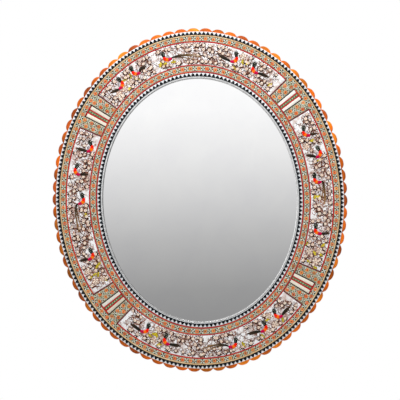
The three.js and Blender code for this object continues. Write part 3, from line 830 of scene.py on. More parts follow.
def flowers(centres, turns, size, ground, source):
    """Orange flowers of eight petals round a dark heart"""
    tint = colours()
    relief = sizes().relief
    count = len(centres)
    base = ground - SUNK
    petals = np.repeat(between(tint.petal, tint.blush, count, source), 8, axis=0)
    petals = np.clip(petals * (1 + 0.12 * source.standard_normal((count * 8, 1))), 0, 1)
    length = 0.40 * size * (1 + 0.06 * source.standard_normal(count * 8))
    shapes = [fans(centres, turns, EIGHTHS, 0.10 * size, length, 0.32 * size, base, 1.3 * relief, petals,
                   sides=5)]
    hearts = between(tint.heart, (0.62, 0.20, 0.10), count, source)
    shapes.append(round_mounds(centres, turns, 0.26 * size, base + 0.6 * relief, relief, hearts))
    return shapes


def crosses(centres, turns, size, ground, source):
    """Pale crosses that reach the corners, with dark leaves on four sides and dots in the corners"""
    tint = colours()
    relief = sizes().relief
    count = len(centres)
    base = ground - SUNK
    dark = between(tint.forest, (0.20, 0.22, 0.12), count * 4, source, 0.2)
    shapes = [fans(centres, turns, QUARTERS, 0.12 * size, 0.50 * size, 0.44 * size, base, 0.8 * relief, dark,
                   point=0.4)]
    pale = between(tint.sky, (0.88, 0.88, 0.83), count * 4, source, 0.05)
    shapes.append(fans(centres, turns, QUARTERS + np.pi / 4, 0.02 * size, 0.68 * size, 0.20 * size, base,
                       relief, pale, point=0.3))
    hearts = between(tint.leaf, tint.blush, count, source)
    shapes.append(round_mounds(centres, turns, 0.18 * size, base + 0.5 * relief, relief, hearts, 5))
    leaves = between(tint.leaf, tint.forest, count * 4, source, 0.15)
    shapes.append(fans(centres, turns, CORNER_LEAVES, 0.56 * size, 0.24 * size, 0.17 * size, base,
                       0.7 * relief, leaves, sides=5))
    return shapes


def flecks(lobes, offsets, ground, source):
    """Small leaves and dots of dark green, orange, pale blue and olive strewn over the ground"""
    tint = colours()
    count = len(lobes)
    tones = np.array([tint.forest, tint.forest, tint.petal, tint.heart, tint.sky, tint.leaf])
    picked = tones[source.integers(0, len(tones), count)]
    paint = linear(np.clip(picked * source.uniform(0.85, 1.1, (count, 1)), 0, 1))
    length = source.uniform(2.0, 3.8, count) * MM
    turns = source.uniform(0, np.pi, count)
    return domes(oval(lobes, offsets), turns, length, 0.7 * length, ground - SUNK, 0.7 * sizes().relief,
                 paint, sides=5)


def flower_strip(part, both_sides, stream):
    """Flowers evenly spaced along the strip's middle line, crosses halfway between them and flecks all over.
    The ground is widened where red lines lie beside it: on both sides, or on the inner one."""
    source = draws(stream)
    name = f"{part}_flowers"
    band, count = BANDS[name], getattr(sizes(), name)
    width = band[1] - band[0]
    front = FLOWER_GROUND
    section = board_section(width, INLAY_BACK, front, sizes().edge_round)
    inner, outer = widened(band)
    ground = ring((inner, outer if both_sides else band[1]), section, finish=1)
    middle = sum(band) / 2
    size = min(sizes().flower_size, 0.95 * width)
    places = lobes_along(middle, (np.arange(count) + 0.5) / count)
    halfway = lobes_along(middle, np.arange(count) / count)
    reach = width / 2 - FLECK_EDGE
    dots = FLECKS_PER_FLOWER * count
    lobes = source.uniform(0, LOBES, dots)
    shapes = [ground, flecks(lobes, middle + reach * source.uniform(-1, 1, dots), front, source)]
    shapes += flowers(oval(places, middle), heading(places), size, front, source)
    shapes += crosses(oval(halfway, middle), heading(halfway), size, front, source)
    dress([f"{part}_flower_strip"], "painted", shapes, FINISHES["strip"],
          name=f"{name}_painted")


def flower_block(name, start, end, near_start, stream):
    """Flowers in two columns, staggered by half a row, with crosses halfway between them"""
    source = draws(stream)
    front = FLOWER_GROUND
    inner, outer = BANDS["frieze"][0], BANDS["panel_fillet"][1]
    section = board_section(outer - inner, INLAY_BACK, front, sizes().edge_round)
    shapes = [sector(start, end, inner, outer, section, finish=1)]
    columns = start + (end - start) * np.array([0.25, 0.75])
    if not near_start:
        columns = columns[::-1]
    rows = inner + (outer - inner) * (np.arange(6) + 0.5) / 6
    lobes = np.repeat(columns, 3)
    turns = heading(lobes) + np.pi / 2
    size = sizes().flower_size
    edge = FLECK_EDGE / LOBE_PITCH
    strewn = source.uniform(start + edge, end - edge, FLECKS_PER_BLOCK)
    across = source.uniform(inner + FLECK_EDGE, outer - FLECK_EDGE, FLECKS_PER_BLOCK)
    shapes.append(flecks(strewn, across, front, source))
    odd, even = np.concatenate([rows[1::2], rows[::2]]), np.concatenate([rows[::2], rows[1::2]])
    shapes += flowers(oval(lobes, odd), turns, 0.98 * size, front, source)
    shapes += crosses(oval(lobes, even), turns, 0.82 * size, front, source)
    dress([name], "painted", shapes, FINISHES["block"])


# Painting of the frieze


def scatter(start, end, pitch, stray, margin, source):
    """Places on a grid along and across a panel, each strayed at random by a share of the grid's pitch"""
    inner, outer = BANDS["frieze"]
    depth = outer - inner - 2 * margin
    columns = max(1, int(round((end - start) * LOBE_PITCH / pitch)))
    rows = max(1, int(round(depth / pitch)) + 1)
    along, across = np.meshgrid((np.arange(columns) + 0.5) / columns, np.linspace(0, 1, rows))
    along = along + np.where(np.arange(rows) % 2 == 0, 0.25, -0.25)[:, None] / columns
    along = along.ravel() + stray / columns * source.uniform(-1, 1, along.size)
    across = across.ravel() + stray / rows * source.uniform(-1, 1, across.size)
    edge = margin / ((end - start) * LOBE_PITCH)
    lobes = start + (end - start) * np.clip(along, edge, 1 - edge)
    return oval(lobes, inner + margin + depth * np.clip(across, 0, 1))


def clear_of(places, blockers, radius):
    """True where a place is further than the radius from every blocker"""
    if not len(blockers):
        return np.ones(len(places), dtype=bool)
    apart = np.linalg.norm(places[:, None, :] - blockers[None, :, :], axis=-1)
    return (apart > radius).all(axis=1)


class Flock:
    """Birds of one panel, drawn facing left in millimetres, leaned back, and mirrored to face right"""

    def __init__(self, birds, scale):
        self.scale = scale
        self.count = len(birds)
        self.places = np.array([oval(bird.lobe, bird.offset * MM) for bird in birds])
        self.way = np.array([float(bird.way) for bird in birds])
        self.lean = np.radians([bird.lean for bird in birds])
        self.bend = np.array([oval(bird.bend[0], bird.bend[1] * MM) for bird in birds])
        self.end = np.array([oval(bird.end[0], bird.end[1] * MM) for bird in birds])

    def line(self, points):
        """Points of the drawing turned by each bird's lean about the middle of its body and put in place,
        with the other hand where the bird faces right"""
        points = np.broadcast_to(np.asarray(points, dtype=float), (self.count, len(points), 2))
        hand = np.stack([-self.way, np.ones(self.count)], -1)[:, None, :]
        return self.places[:, None, :] + rotated(points, self.lean[:, None]) * hand * MM * self.scale

    def facing(self, angle):
        """Angle of the drawing in place, for mounds"""
        turn = np.radians(angle) + self.lean
        return np.where(self.way < 0, turn, np.pi - turn)

    def tail_line(self, aside=0.0, reach=1.0):
        """Quadratic curve from rump past bend to end, turned aside about the rump and shortened"""
        share = np.linspace(0, 1, TAIL_STEPS)[None, :, None]
        rump = self.line([RUMP])
        bend, end = self.bend[:, None, :] - rump, self.end[:, None, :] - rump
        curve = 2 * share * (1 - share) * bend + share ** 2 * end
        return rump + reach * rotated(curve, aside)

    def blockers(self):
        """Middles of head, body and tail, which other ornament keeps clear of"""
        head = self.line([[-1.0, 9.0], [-1.0, 13.5]])
        body = self.line([[-1.5, 3.0], [0.0, -1.5], [5.0, -3.8], [2.5, 3.0]])
        return [part.reshape(-1, 2) for part in (head, body, self.tail_line()[:, 1::2])]


def birds_painting(flock, ground, source):
    """Long-tailed birds: tail feathers, wing, crescent body, neck, head, beak, crest and eye"""
    tint = colours()
    count, scale = flock.count, flock.scale
    base = ground - SUNK

    def part(at, angle, length, width, lift, rise, paint, **options):
        centre = flock.line([at])[:, 0]
        return domes(centre, flock.facing(angle), length * MM * scale, width * MM * scale, base + lift * MM,
                     rise * MM, paint, **options)

    shapes = []
    length = np.linalg.norm(np.diff(flock.tail_line(), axis=1), axis=-1).sum(1)
    slender = np.clip(1.95 - 0.021 * length / MM, 0.85, 1.5)[:, None]
    along = np.linspace(0, 1, TAIL_STEPS)[:, None]
    swell = 0.45 + 0.65 * np.sin(np.pi * np.linspace(0.08, 0.95, TAIL_STEPS)) ** 0.7
    end = np.where(length[:, None, None] > LONG_TAIL, linear(tint.straw), linear((0.27, 0.19, 0.13)))
    for aside, reach, half, lift in TAIL_FEATHERS:
        line = flock.tail_line(aside, reach)
        base_paint = between(tint.plume, (0.20, 0.15, 0.10), count, source, 0.15)[:, None, :]
        paint = (1 - along ** 3) * base_paint + along ** 3 * end
        shapes.append(ribbons(line, half * MM * swell * slender, base + lift * MM, 0.6 * MM, paint))
    share = np.linspace(0, 1, 15)[:, None]
    knots = np.array([[-3.2, 6.6], [-4.6, 0.2], [0.4, -4.2], [8.8, -4.4]])
    weights = ((1 - share) ** 3, 3 * share * (1 - share) ** 2, 3 * share ** 2 * (1 - share), share ** 3)
    curve = sum(weight * knot for weight, knot in zip(weights, knots))
    stops = np.array([0.0, 0.34, 0.44, 0.60, 0.72, 1.0])
    bands = np.array([tint.breast, tint.breast, tint.belly, tint.belly, tint.rump, tint.rump])
    body = linear(np.stack([np.interp(share[:, 0], stops, channel) for channel in bands.T], -1))
    widths = scale * MM * (2.1 + 1.8 * np.sin(np.pi * share[:, 0]) ** 0.7)
    neck = flock.line([[-2.4, 5.6], [-2.1, 8.5], [-1.5, 11.0], [-0.8, 13.0]])
    dark = between(tint.plume, tint.plume, count, source, 0.1)
    grey = between((0.46, 0.48, 0.44), (0.30, 0.32, 0.28), count, source, 0.1)
    lilac = between((0.86, 0.83, 0.86), (0.66, 0.62, 0.64), count, source, 0.04)
    for at, angle, length, lift in WING_FEATHERS:
        shapes.append(part(at, angle, length + 1.0, 3.4, lift, 0.45, dark, sides=8, point=0.3, rooted=True))
        shapes.append(part(at, angle, length, 2.2, lift + 0.22, 0.5, lilac, sides=8, point=0.3, rooted=True))
    thick = np.array([2.8, 3.4, 3.6, 3.2]) * MM * scale
    shapes.append(ribbons(neck, thick, base + 0.25 * MM, 0.8 * MM, dark))
    body = np.repeat(body[None], count, axis=0)
    shapes.append(ribbons(flock.line(curve), widths, base + 0.3 * MM, 0.95 * MM, body))
    shapes.append(part((-1.0, 13.2), 150, 8.8, 7.4, 0.35, 0.95, dark, sides=12, rings=(1.0, 0.6)))
    shapes.append(part((-3.4, 14.0), 192, 4.4, 1.9, 0.4, 0.6, grey, sides=6, point=0.4, rooted=True))
    for at, angle, length in CREST_FEATHERS:
        shapes.append(part(at, angle, length, 1.3, 0.2, 0.5, dark, sides=6, point=0.5, rooted=True))
    for at in NECK_BARS:
        shapes.append(part(at, 80, 3.2, 2.0, 0.95, 0.3, grey, sides=6, point=0.4))
    shapes.append(part((-2.2, 14.2), 0, 1.3, 1.3, 1.15, 0.2, linear((0.93, 0.90, 0.80)), sides=8))
    shapes.append(part((-2.2, 14.2), 0, 0.6, 0.6, 1.32, 0.08, linear((0.10, 0.08, 0.06)), sides=6))
    for at, angle in LEGS:
        shapes.append(part(at, angle, 4.4, 0.9, 0.0, 0.4, linear(tint.umber), sides=5, rooted=True))
    return shapes


def roses(centres, size, ground, source):
    """Round roses: five dark leaves, five outer petals, four inner ones turned against them, a dark heart"""
    tint = colours()
    count = len(centres)
    base = ground - SUNK
    leans = source.uniform(0, 2 * np.pi, count)
    leaf = between(tint.umber, tint.taupe, count * 5, source, 0.12)
    shapes = [fans(centres, leans, FIFTHS, 0.36 * size, 0.34 * size, 0.24 * size, base, 0.35 * MM, leaf,
                   sides=7, point=0.4)]
    for petals, reach, length, width, lift, dark in (
        (FIFTHS, 0.12, 0.38, 0.36, 0.1, tint.taupe), (QUARTERS, 0.0, 0.24, 0.24, 0.5, tint.umber),
    ):
        outline = between(dark, tint.umber, count * len(petals), source)
        shade = between(tint.rose, tint.shell, count * len(petals), source, 0.05)
        shapes.append(fans(centres, leans, petals, reach * size, (length + 0.06) * size,
                           (width + 0.12) * size, base + lift * MM, 0.34 * MM, outline, sides=8))
        shapes.append(fans(centres, leans, petals, (reach + 0.02) * size, length * size, width * size,
                           base + (lift + 0.12) * MM, 0.36 * MM, shade, sides=8))
        leans = leans + 0.6
    hearts = between(tint.heart, tint.umber, count, source)
    shapes.append(round_mounds(centres, leans, 0.14 * size, base + 0.9 * MM, 0.2 * MM, hearts))
    return shapes


def olive_tufts(centres, ground, source):
    """Three broad olive leaves on a dark stalk"""
    tint = colours()
    count = len(centres)
    lean = source.uniform(0, 2 * np.pi, count)
    dark = between(tint.umber, (0.42, 0.30, 0.12), count * 3, source, 0.1)
    olive = between(tint.olive, (0.84, 0.76, 0.28), count * 3, source, 0.08)
    angles = np.radians([-55, 0, 55])
    return [
        fans(centres, lean, angles, 0.2 * MM, 6.8 * MM, 4.4 * MM, ground, 0.3 * MM, dark, sides=8, point=0.3),
        fans(centres, lean, angles, 0.5 * MM, 5.9 * MM, 3.6 * MM, ground + 0.16 * MM, 0.36 * MM, olive,
             sides=8, point=0.3),
    ]


def leaf_strokes(roots, turns, bends, lengths, half_width, base, rise, paint):
    """Long bent leaves: the heading turns evenly by the bend along the way s, and the half width goes as
    sin(pi s) to the power 0.6"""
    share = np.linspace(0, 1, 9)
    heads = turns[:, None] + bends[:, None] * share
    pace = lengths[:, None] / (len(share) - 1)
    line = np.stack([np.cumsum(np.cos(heads) * pace, 1), np.cumsum(np.sin(heads) * pace, 1)], -1)
    swell = np.maximum(np.sin(np.pi * share) ** 0.6, 0.08)
    return ribbons(roots[:, None, :] + line, half_width * swell, base, rise, paint)


def sprays(centres, ground, source):
    """Small cream flowers, each in a dark cup over a ring of feathery leaves and a brown wash, about one in
    three with a long leaf"""
    tint = colours()
    count = len(centres)
    base = ground - SUNK
    lean = -np.pi / 2 + 0.9 * source.standard_normal(count)
    size = source.uniform(0.85, 1.2, count)

    def grown(length, petals=1):
        return np.repeat(size * length * MM, petals)

    def away(angle, reach):
        turn = lean + angle
        return centres + reach[:, None] * np.stack([np.cos(turn), np.sin(turn)], -1)

    wash = between((0.78, 0.60, 0.49), (0.54, 0.37, 0.27), count, source, 0.1)
    shapes = [domes(away(0.0, grown(1.2)), lean + 1.3, grown(11.5), grown(9.0), base + 0.02 * MM, 0.16 * MM,
                    wash, sides=9)]
    picked = source.random(count) < 0.35
    turns = (lean + source.choice([-1.0, 1.0], count) * source.uniform(0.7, 1.3, count))[picked]
    dark = between(tint.umber, (0.44, 0.30, 0.24), count, source, 0.16)
    shapes.append(leaf_strokes(away(0.0, grown(2.0))[picked], turns, source.uniform(-1.5, 1.5, count)[picked],
                               grown(12.0)[picked], 1.2 * MM, base + 0.06 * MM, 0.42 * MM, dark[picked]))
    leaf = between((0.20, 0.10, 0.07), tint.taupe, count * 8, source, 0.2)
    length = grown(5.3, 8) * source.uniform(0.7, 1.25, count * 8)
    shapes.append(fans(centres, lean, EIGHTHS + 0.2, 1.7 * MM, length, 0.40 * length, base + 0.1 * MM,
                       0.38 * MM, leaf, point=0.4))
    span = 2.9
    radius = grown(2.6)
    crescent = between((0.30, 0.15, 0.10), (0.14, 0.07, 0.05), count, source, 0.12)
    shapes.append(leaf_strokes(away(-span / 2, radius), lean + (np.pi - span) / 2, np.full(count, span),
                               radius * span, 1.6 * MM, base + 0.16 * MM, 0.46 * MM, crescent))
    cream = between(tint.rose, tint.shell, count * 5, source, 0.05)
    shapes.append(fans(away(np.pi, grown(0.5)), lean, FIFTHS, 0.1 * MM, grown(3.0, 5), grown(2.7, 5),
                       base + 0.34 * MM, 0.42 * MM, cream, sides=7))
    hearts = between(tint.shell, tint.umber, count, source)
    shapes.append(round_mounds(centres, lean, grown(0.9), base + 0.68 * MM, 0.2 * MM, hearts, 5))
    return shapes


def sprigs(centres, ground, source):
    """Small twigs of light leaves between the flowers"""
    count = len(centres)
    lean = source.uniform(0, 2 * np.pi, count)
    paint = between((0.36, 0.20, 0.14), (0.64, 0.45, 0.36), count * 5, source, 0.14)
    length = source.uniform(3.0, 5.6, count * 5) * MM
    return [fans(centres, lean, np.radians([-70, -35, 0, 35, 70]), 0.5 * MM, length, 0.34 * length,
                 ground - SUNK, 0.35 * MM, paint, point=0.4)]


def branch(start, end, ground, source):
    """Stem along a panel, its offset a sine about the panel's middle, with pairs of narrow leaves"""
    tint = colours()
    inner, outer = BANDS["frieze"]
    lobes = np.linspace(start + 0.35, end - 0.35, 160)
    swing = (outer - inner) * 0.30
    phase = source.uniform(0, 2 * np.pi)
    wave = 2 * np.pi * lobes * LOBE_PITCH / BRANCH_WAVE
    offsets = FRIEZE_MIDDLE + swing * np.sin(wave + phase)
    line = oval(lobes, offsets)
    base = ground - SUNK
    shapes = [ribbons(line[None], 0.75 * MM, base, 0.4 * MM, linear(tint.umber)[None])]
    ahead = np.gradient(line, axis=0)
    heads = np.arctan2(ahead[:, 1], ahead[:, 0])
    picked = slice(2, None, 2)
    centres, leans = line[picked], heads[picked] + 0.2 * source.standard_normal(len(line[picked]))
    paint = between(tint.umber, tint.taupe, len(centres) * 2, source, 0.15)
    length = source.uniform(4.5, 7.5, len(centres) * 2) * MM
    shapes.append(fans(centres, leans, np.radians([55, -55]), 0.4 * MM, length, 0.25 * length, base, 0.4 * MM,
                       paint, point=0.5))
    return shapes


def dividers_round(index):
    """Divider before and after a panel: the one before the top panel counts backwards past the top"""
    return (DIVIDERS[3] - LOBES if index == 0 else DIVIDERS[index - 1]), DIVIDERS[index]


def in_span(lobe, start, end):
    return start < lobe < end or start < lobe - LOBES < end


def inside(places, start, end, margin):
    """True where a place is inside the panel by a margin: its nearest lobe lies between the panel's ends"""
    lobes = np.linspace(start, end, 400)
    line = oval(lobes, FRIEZE_MIDDLE)
    nearest = np.linalg.norm(places[:, None, :] - line[None], axis=-1).argmin(axis=1)
    across = np.linalg.norm(places - line[nearest], axis=-1)
    half = (BANDS["frieze"][1] - BANDS["frieze"][0]) / 2
    edge = margin / LOBE_PITCH
    return (across < half - margin) & (lobes[nearest] > start + edge) & (lobes[nearest] < end - edge)


def panel_places(places, start, end):
    """Points of the places that lie between a panel's ends"""
    return np.array([oval(lobe, offset * MM) for lobe, offset in places if in_span(lobe, start, end)])


def open_places(start, end, pitch, stray, margin, room, others, source):
    """Scattered places of a panel that keep their room from its edge and from each group of others"""
    places = scatter(start, end, pitch, stray, margin, source)
    kept = inside(places, start, end, room.edge)
    for group, distance in zip(others, room[1:]):
        kept &= clear_of(places, group, distance)
    return places[kept]


def frieze_panel(index):
    """One long panel: ground, branch, sprigs, sprays, roses, olive tufts and birds; sprigs and sprays are
    kept clear of what lies over them"""
    source = draws(40 + index)
    before, after = dividers_round(index)
    start, end = before + PANEL_START, after - PANEL_START
    inner, outer = BANDS["frieze"]
    front = FRIEZE_FRONT
    section = board_section(outer - inner, INLAY_BACK, front, 0.2 * MM)
    room = LINE_ROOM / LOBE_PITCH
    shapes = [sector(start - room, end + room, *widened((inner, outer)), section, finish=1)]
    flock = Flock([bird for bird in BIRDS if in_span(bird.lobe, start, end)], sizes().bird_scale)
    blooms, olives, openings = (panel_places(places, start, end) for places in (ROSES, OLIVES, OPENINGS))
    others = (*flock.blockers(), blooms, openings)
    shapes += branch(start, end, front, source)
    small = open_places(start, end, SPRIG_PITCH[index], 0.5, 2 * MM, SPRIG_ROOM, others, source)
    shapes += sprigs(small, front, source)
    large = open_places(start, end, SPRAY_PITCH, 0.38, 5 * MM, SPRAY_ROOM, others, source)
    shapes += sprays(large, front, source)
    shapes += roses(blooms, ROSE_SIZE, front + 0.15 * MM, source)
    shapes += olive_tufts(olives, front, source)
    shapes += birds_painting(flock, front + 0.1 * MM, source)
    dress([f"frieze_panel_{SIDES[index]}"], "painted", shapes, FINISHES["frieze"])


# Half widths of a divider's pieces in lobes, from its centre outwards


def along_frieze(length):
    return length / LOBE_PITCH


TILE_HALF = along_frieze(GREEN_STRIPE / 2 + RED_STRIPE + CREAM_STRIPE)
FILLET_HALF = TILE_HALF + SEAM + along_frieze(DARK_LINE)
BLOCK_START = FILLET_HALF + SEAM
BLOCK_END = BLOCK_START + along_frieze(BLOCK_WIDTH)
PANEL_FILLET_START = BLOCK_END + SEAM
PANEL_START = PANEL_FILLET_START + along_frieze(END_LINE) + SEAM

FINISHES = {}


def arch_lines(start, end, leg, arch, foot, per_lobe=4):
    """Outer and inner line of a strip that runs up one end, over a panel and down the other end"""
    over = stations(start, end, per_lobe)
    under = np.linspace(start + leg, end - leg, len(over))
    lift = np.linspace(foot, arch[1], 5)[:-1]
    drop = np.linspace(foot, arch[0], 5)[:-1]
    outer = np.concatenate([
        oval(np.full(4, start), lift), oval(over, arch[1]), oval(np.full(4, end), lift[::-1]),
    ])
    inner = np.concatenate([
        oval(np.full(4, start + leg), drop), oval(under, arch[0]), oval(np.full(4, end - leg), drop[::-1]),
    ])
    return inner, outer


class MIRROR_OT_finishes(bpy.types.Operator):
    """Mixes the finishes that the pieces share"""

    bl_idname = "mirror.finishes"
    bl_label = "Finishes"

    def execute(self, context):
        tint = colours()
        relief_paint = painted_finish("flower_paint", 0.5)
        sage = patched_finish("sage_ground", tint.sage, (0.60, 0.61, 0.50), 260, third=(0.80, 0.78, 0.68))
        block = patched_finish("block_ground", tint.sage, (0.60, 0.60, 0.48), 260, third=(0.78, 0.77, 0.68))
        pale = patched_finish(
            "frieze_ground", tint.ground, (0.93, 0.92, 0.91), 150, third=(0.81, 0.71, 0.67),
            share=(0.44, 0.58),
        )
        red = patched_finish(
            "red_lacquer", tint.red, (0.66, 0.13, 0.16), 120, 0.42, third=tint.vermilion, share=(0.35, 0.7),
        )
        gold = patched_finish("gold_leaf", tint.gold, (0.82, 0.66, 0.46), 150, 0.42, third=(0.93, 0.82, 0.66))
        FINISHES.update({
            "strip": [relief_paint, sage],
            "block": [relief_paint, block],
            "frieze": [painted_finish("frieze_paint", 0.48, 1100, 0.14, specular=0.12), pale],
            "red": [red],
            "line": [painted_finish("line_lacquer", 0.45, 500, 0.16)],
            "rim": [wood_finish("varnished_lobes", None, (1, 0, 0), 0.45, "grain", 0.24, specular=0.12)],
            "bone": [
                patched_finish("white_bone", tint.bone, (0.93, 0.95, 0.96), 90, 0.45),
                metal_finish("polished_lip", (0.95, 0.95, 0.95), 0.12, 0.04),
            ],
            "horn": [painted_finish("black_horn", 0.5, 700, 0.2, specular=0.15)],
            "gold": [gold],
            "tile": [painted_finish("tile_paint", 0.45, 800, 0.07, 0.03 * MM)],
        })
        return {"FINISHED"}


class MIRROR_OT_scalloped_rim(bpy.types.Operator):
    """Builds the two halves of the scalloped rim, each lobe with its own tone of varnish"""

    bl_idname = "mirror.scalloped_rim"
    bl_label = "Scalloped rim"

    def execute(self, context):
        side = math.floor(LOBES / 4) + 0.5
        self.half("scalloped_rim_top", -side, side, 1)
        self.half("scalloped_rim_bottom", side, LOBES - side, 2)
        return {"FINISHED"}

    def half(self, name, start, end, stream):
        """Edge: swells by 1 - |u|^2.6 over each lobe, u from -1 to 1. Front: falls back as 1 - cos(a) towards
        the edge, and as |u|^3 towards the valleys"""
        size = sizes()
        source = draws(stream)
        per_lobe = 12
        lobes = np.linspace(start, end, int(round((end - start) * per_lobe)) + 1)
        from_crest = 2 * (lobes - np.round(lobes))
        whole = np.round(lobes).astype(int)
        lobes[0] += SEAM / 2
        lobes[-1] -= SEAM / 2
        inner = oval(lobes, RIM_EDGE)
        outer = oval(lobes, VALLEY_LINE + 0.99 * LOBE_DEPTH * (1 - np.abs(from_crest) ** 2.6))
        round_start = 0.5
        bend = np.linspace(1, 0, 9) * np.pi / 2
        shares = round_start + (1 - round_start) * np.sin(bend)
        fall = 1 - np.cos(bend)
        flat = np.array([[0.0, CARCASS_BACK], [0.94, CARCASS_BACK], [1.0, CARCASS_BACK + 1.0 * MM]])
        shoulder = np.stack([shares, CARCASS_FRONT - size.lobe_fall * fall], -1)
        section = np.concatenate([flat, shoulder, [[0.0, CARCASS_FRONT]]])
        section = np.repeat(section[None], len(lobes), axis=0)
        dip = size.valley_fall * np.abs(from_crest) ** 3
        weight = np.clip((section[:, :, 0] - 0.45) / 0.2, 0, 1)
        raised = section[:, :, 1] > CARCASS_BACK + 2 * MM
        section[:, :, 1] -= np.where(raised, dip[:, None] * weight, 0)
        tint = colours()
        tones = np.array([tint.amber, tint.orange, tint.orange, tint.russet])
        count = LOBES + 3
        pick = source.choice(4, count, p=[0.24, 0.34, 0.28, 0.14])
        tone = tones[pick] * (1 + 0.08 * source.standard_normal((count, 1)))
        places = whole.min() + np.arange(count)
        # Painted shade: the lobes round the lower left are painted darker
        tone = tone * (1 - LOWER_LEFT_SHADE * np.exp(-((places - SHADED_LOBE) / SHADE_REACH) ** 2))[:, None]
        lobe = whole - whole.min()
        slope = source.uniform(-0.16, 0.16, count)[lobe]
        paint = linear(np.clip(tone[lobe] * (1 + slope * from_crest)[:, None], 0, 1))
        shape = carry(inner, outer, section, paint=paint)
        size_along = section.shape[1]
        along = np.repeat(lobes * CREST_PITCH, size_along)
        across = (section[:, :, 0] * 12 * MM).ravel()
        depth = section[:, :, 1].ravel()
        dress([name], "carved", [shape], FINISHES["rim"], crease=50,
              grain=np.stack([along + 7.3 * whole.repeat(size_along), across, depth], -1))


class MIRROR_OT_dogtooth(bpy.types.Operator):
    """Builds both dogtooth borders: white strips and the bevelled black teeth on them"""

    bl_idname = "mirror.dogtooth"
    bl_label = "Dogtooth borders"

    def execute(self, context):
        outer, inner = BANDS["outer_teeth"], BANDS["inner_teeth"]
        self.white("outer_white_strip", outer)
        self.white("inner_white_strip", inner, LIP_WIDTH - 0.7 * MM)
        self.teeth("outer_sawtooth_strip", outer[0], outer[1], OUTER_TEETH, 5)
        self.teeth("inner_sawtooth_strip", inner[0] + LIP_WIDTH, inner[1], INNER_TEETH, 6)
        return {"FINISHED"}

    def white(self, name, band, lip=0.0):
        """White board, and towards the glass a polished lip that takes up the mirror's grey"""
        board = band[0] + lip, band[1]
        section = board_section(board[1] - board[0], INLAY_BACK, WHITE_FRONT, sizes().edge_round)
        shapes = [ring(board, section)]
        if lip:
            edge = board_section(lip, INLAY_BACK, WHITE_FRONT - 0.3 * MM, 0.2 * MM)
            shapes.append(ring((band[0], board[0]), edge, finish=1))
        dress([name], "bone", shapes, FINISHES["bone"])

    def teeth(self, name, inner, outer, count, stream):
        """Comb: its outer line runs from land to point and back in four stations a tooth, a little full on
        the way, with bevelled edges"""
        source = draws(stream)
        stops = 4 * count
        lobes = lobes_along((inner + outer) / 2, np.arange(stops) / stops)
        stray = sizes().tooth_wobble
        lobes[2::4] += source.uniform(-1, 1, count) * stray / LOBE_PITCH
        points = outer - stray * source.random(count)
        land = inner + TOOTH_LAND
        reach = np.full(stops, land)
        reach[2::4] = points
        reach[1::4] = reach[3::4] = land + 0.60 * (points - land)
        width = reach - inner
        edge = 0.12 * MM
        near, far = np.zeros(stops), np.ones(stops)
        bevel, front = SAWTOOTH_FRONT - edge, SAWTOOTH_FRONT
        section = varied_section(
            [near, far, far, 1 - edge / width, edge / width, near],
            [SAWTOOTH_BACK, SAWTOOTH_BACK, bevel, front, front, bevel],
        )
        paint = np.repeat(between(colours().horn, (0.06, 0.08, 0.10), count, source, 0.3), 4, axis=0)
        shape = carry(oval(lobes, inner), oval(lobes, reach), section, paint=paint, closed=True)
        dress([name], "horn", [shape], FINISHES["horn"], crease=25)


class MIRROR_OT_bead(bpy.types.Operator):
    """Builds the gold bead that covers the joint between the rim and the carcass"""

    bl_idname = "mirror.bead"
    bl_label = "Gold bead"

    def execute(self, context):
        section = half_round(INLAY_BACK, BEAD_FRONT - 1.3 * MM, BEAD_FRONT - 0.05 * MM)
        dress(["gold_bead"], "gilded", [ring(BANDS["bead"], section)], FINISHES["gold"])
        return {"FINISHED"}


class MIRROR_OT_red_lines(bpy.types.Operator):
    """Builds the red lines round the oval and over the panels, and the dark-legged ones over the tiles"""

    bl_idname = "mirror.red_lines"
    bl_label = "Red lines"

    def execute(self, context):
        crown = sizes().fillet_crown
        inset = LINE_ROOM / BAND_WIDTHS["panel_fillet"]
        section = half_round(INLAY_BACK, INLAY_FRONT - crown, INLAY_FRONT, inset)
        for name in ("sight_fillet", "frieze_fillet"):
            dress([name], "lacquered", [ring(BANDS[name], section)], FINISHES["red"])
        foot, arch = BANDS["frieze"][0], BANDS["panel_fillet"]
        for index, side in enumerate(SIDES):
            before, after = dividers_round(index)
            start, end = before + PANEL_FILLET_START, after - PANEL_FILLET_START
            lines = arch_lines(start, end, along_frieze(END_LINE), arch, foot)
            self.arched(f"panel_fillet_{side}", lines, section, colours().wine, "red_line", 70 + index)
        for index, (centre, corner) in enumerate(zip(DIVIDERS, CORNERS)):
            start, end = centre - FILLET_HALF, centre + FILLET_HALF
            lines = arch_lines(start, end, along_frieze(DARK_LINE), arch, foot)
            self.arched(f"divider_fillet_{corner}", lines, section, colours().violet, "dark_line", 80 + index)
        return {"FINISHED"}

    def arched(self, name, lines, section, leg_colour, slot, stream):
        """Red line with warmer patches, and legs of a darker colour"""
        warmth = np.convolve(draws(stream).random(len(lines[0])), np.full(5, 0.2), "same")[:, None]
        warmth = np.clip(6 * (warmth - 0.52), 0, 1)
        paint = linear((1 - warmth) * np.array(colours().red) + warmth * np.array(colours().vermilion))
        paint[:5] = paint[-5:] = linear(leg_colour)
        dress([name], "lacquered", [carry(*lines, section, paint=paint)], FINISHES["line"])


class MIRROR_OT_flower_strips(bpy.types.Operator):
    """Builds the two narrow strips of orange flowers and pale crosses"""

    bl_idname = "mirror.flower_strips"
    bl_label = "Flower strips"

    def execute(self, context):
        flower_strip("outer", False, 10)
        flower_strip("inner", True, 11)
        return {"FINISHED"}


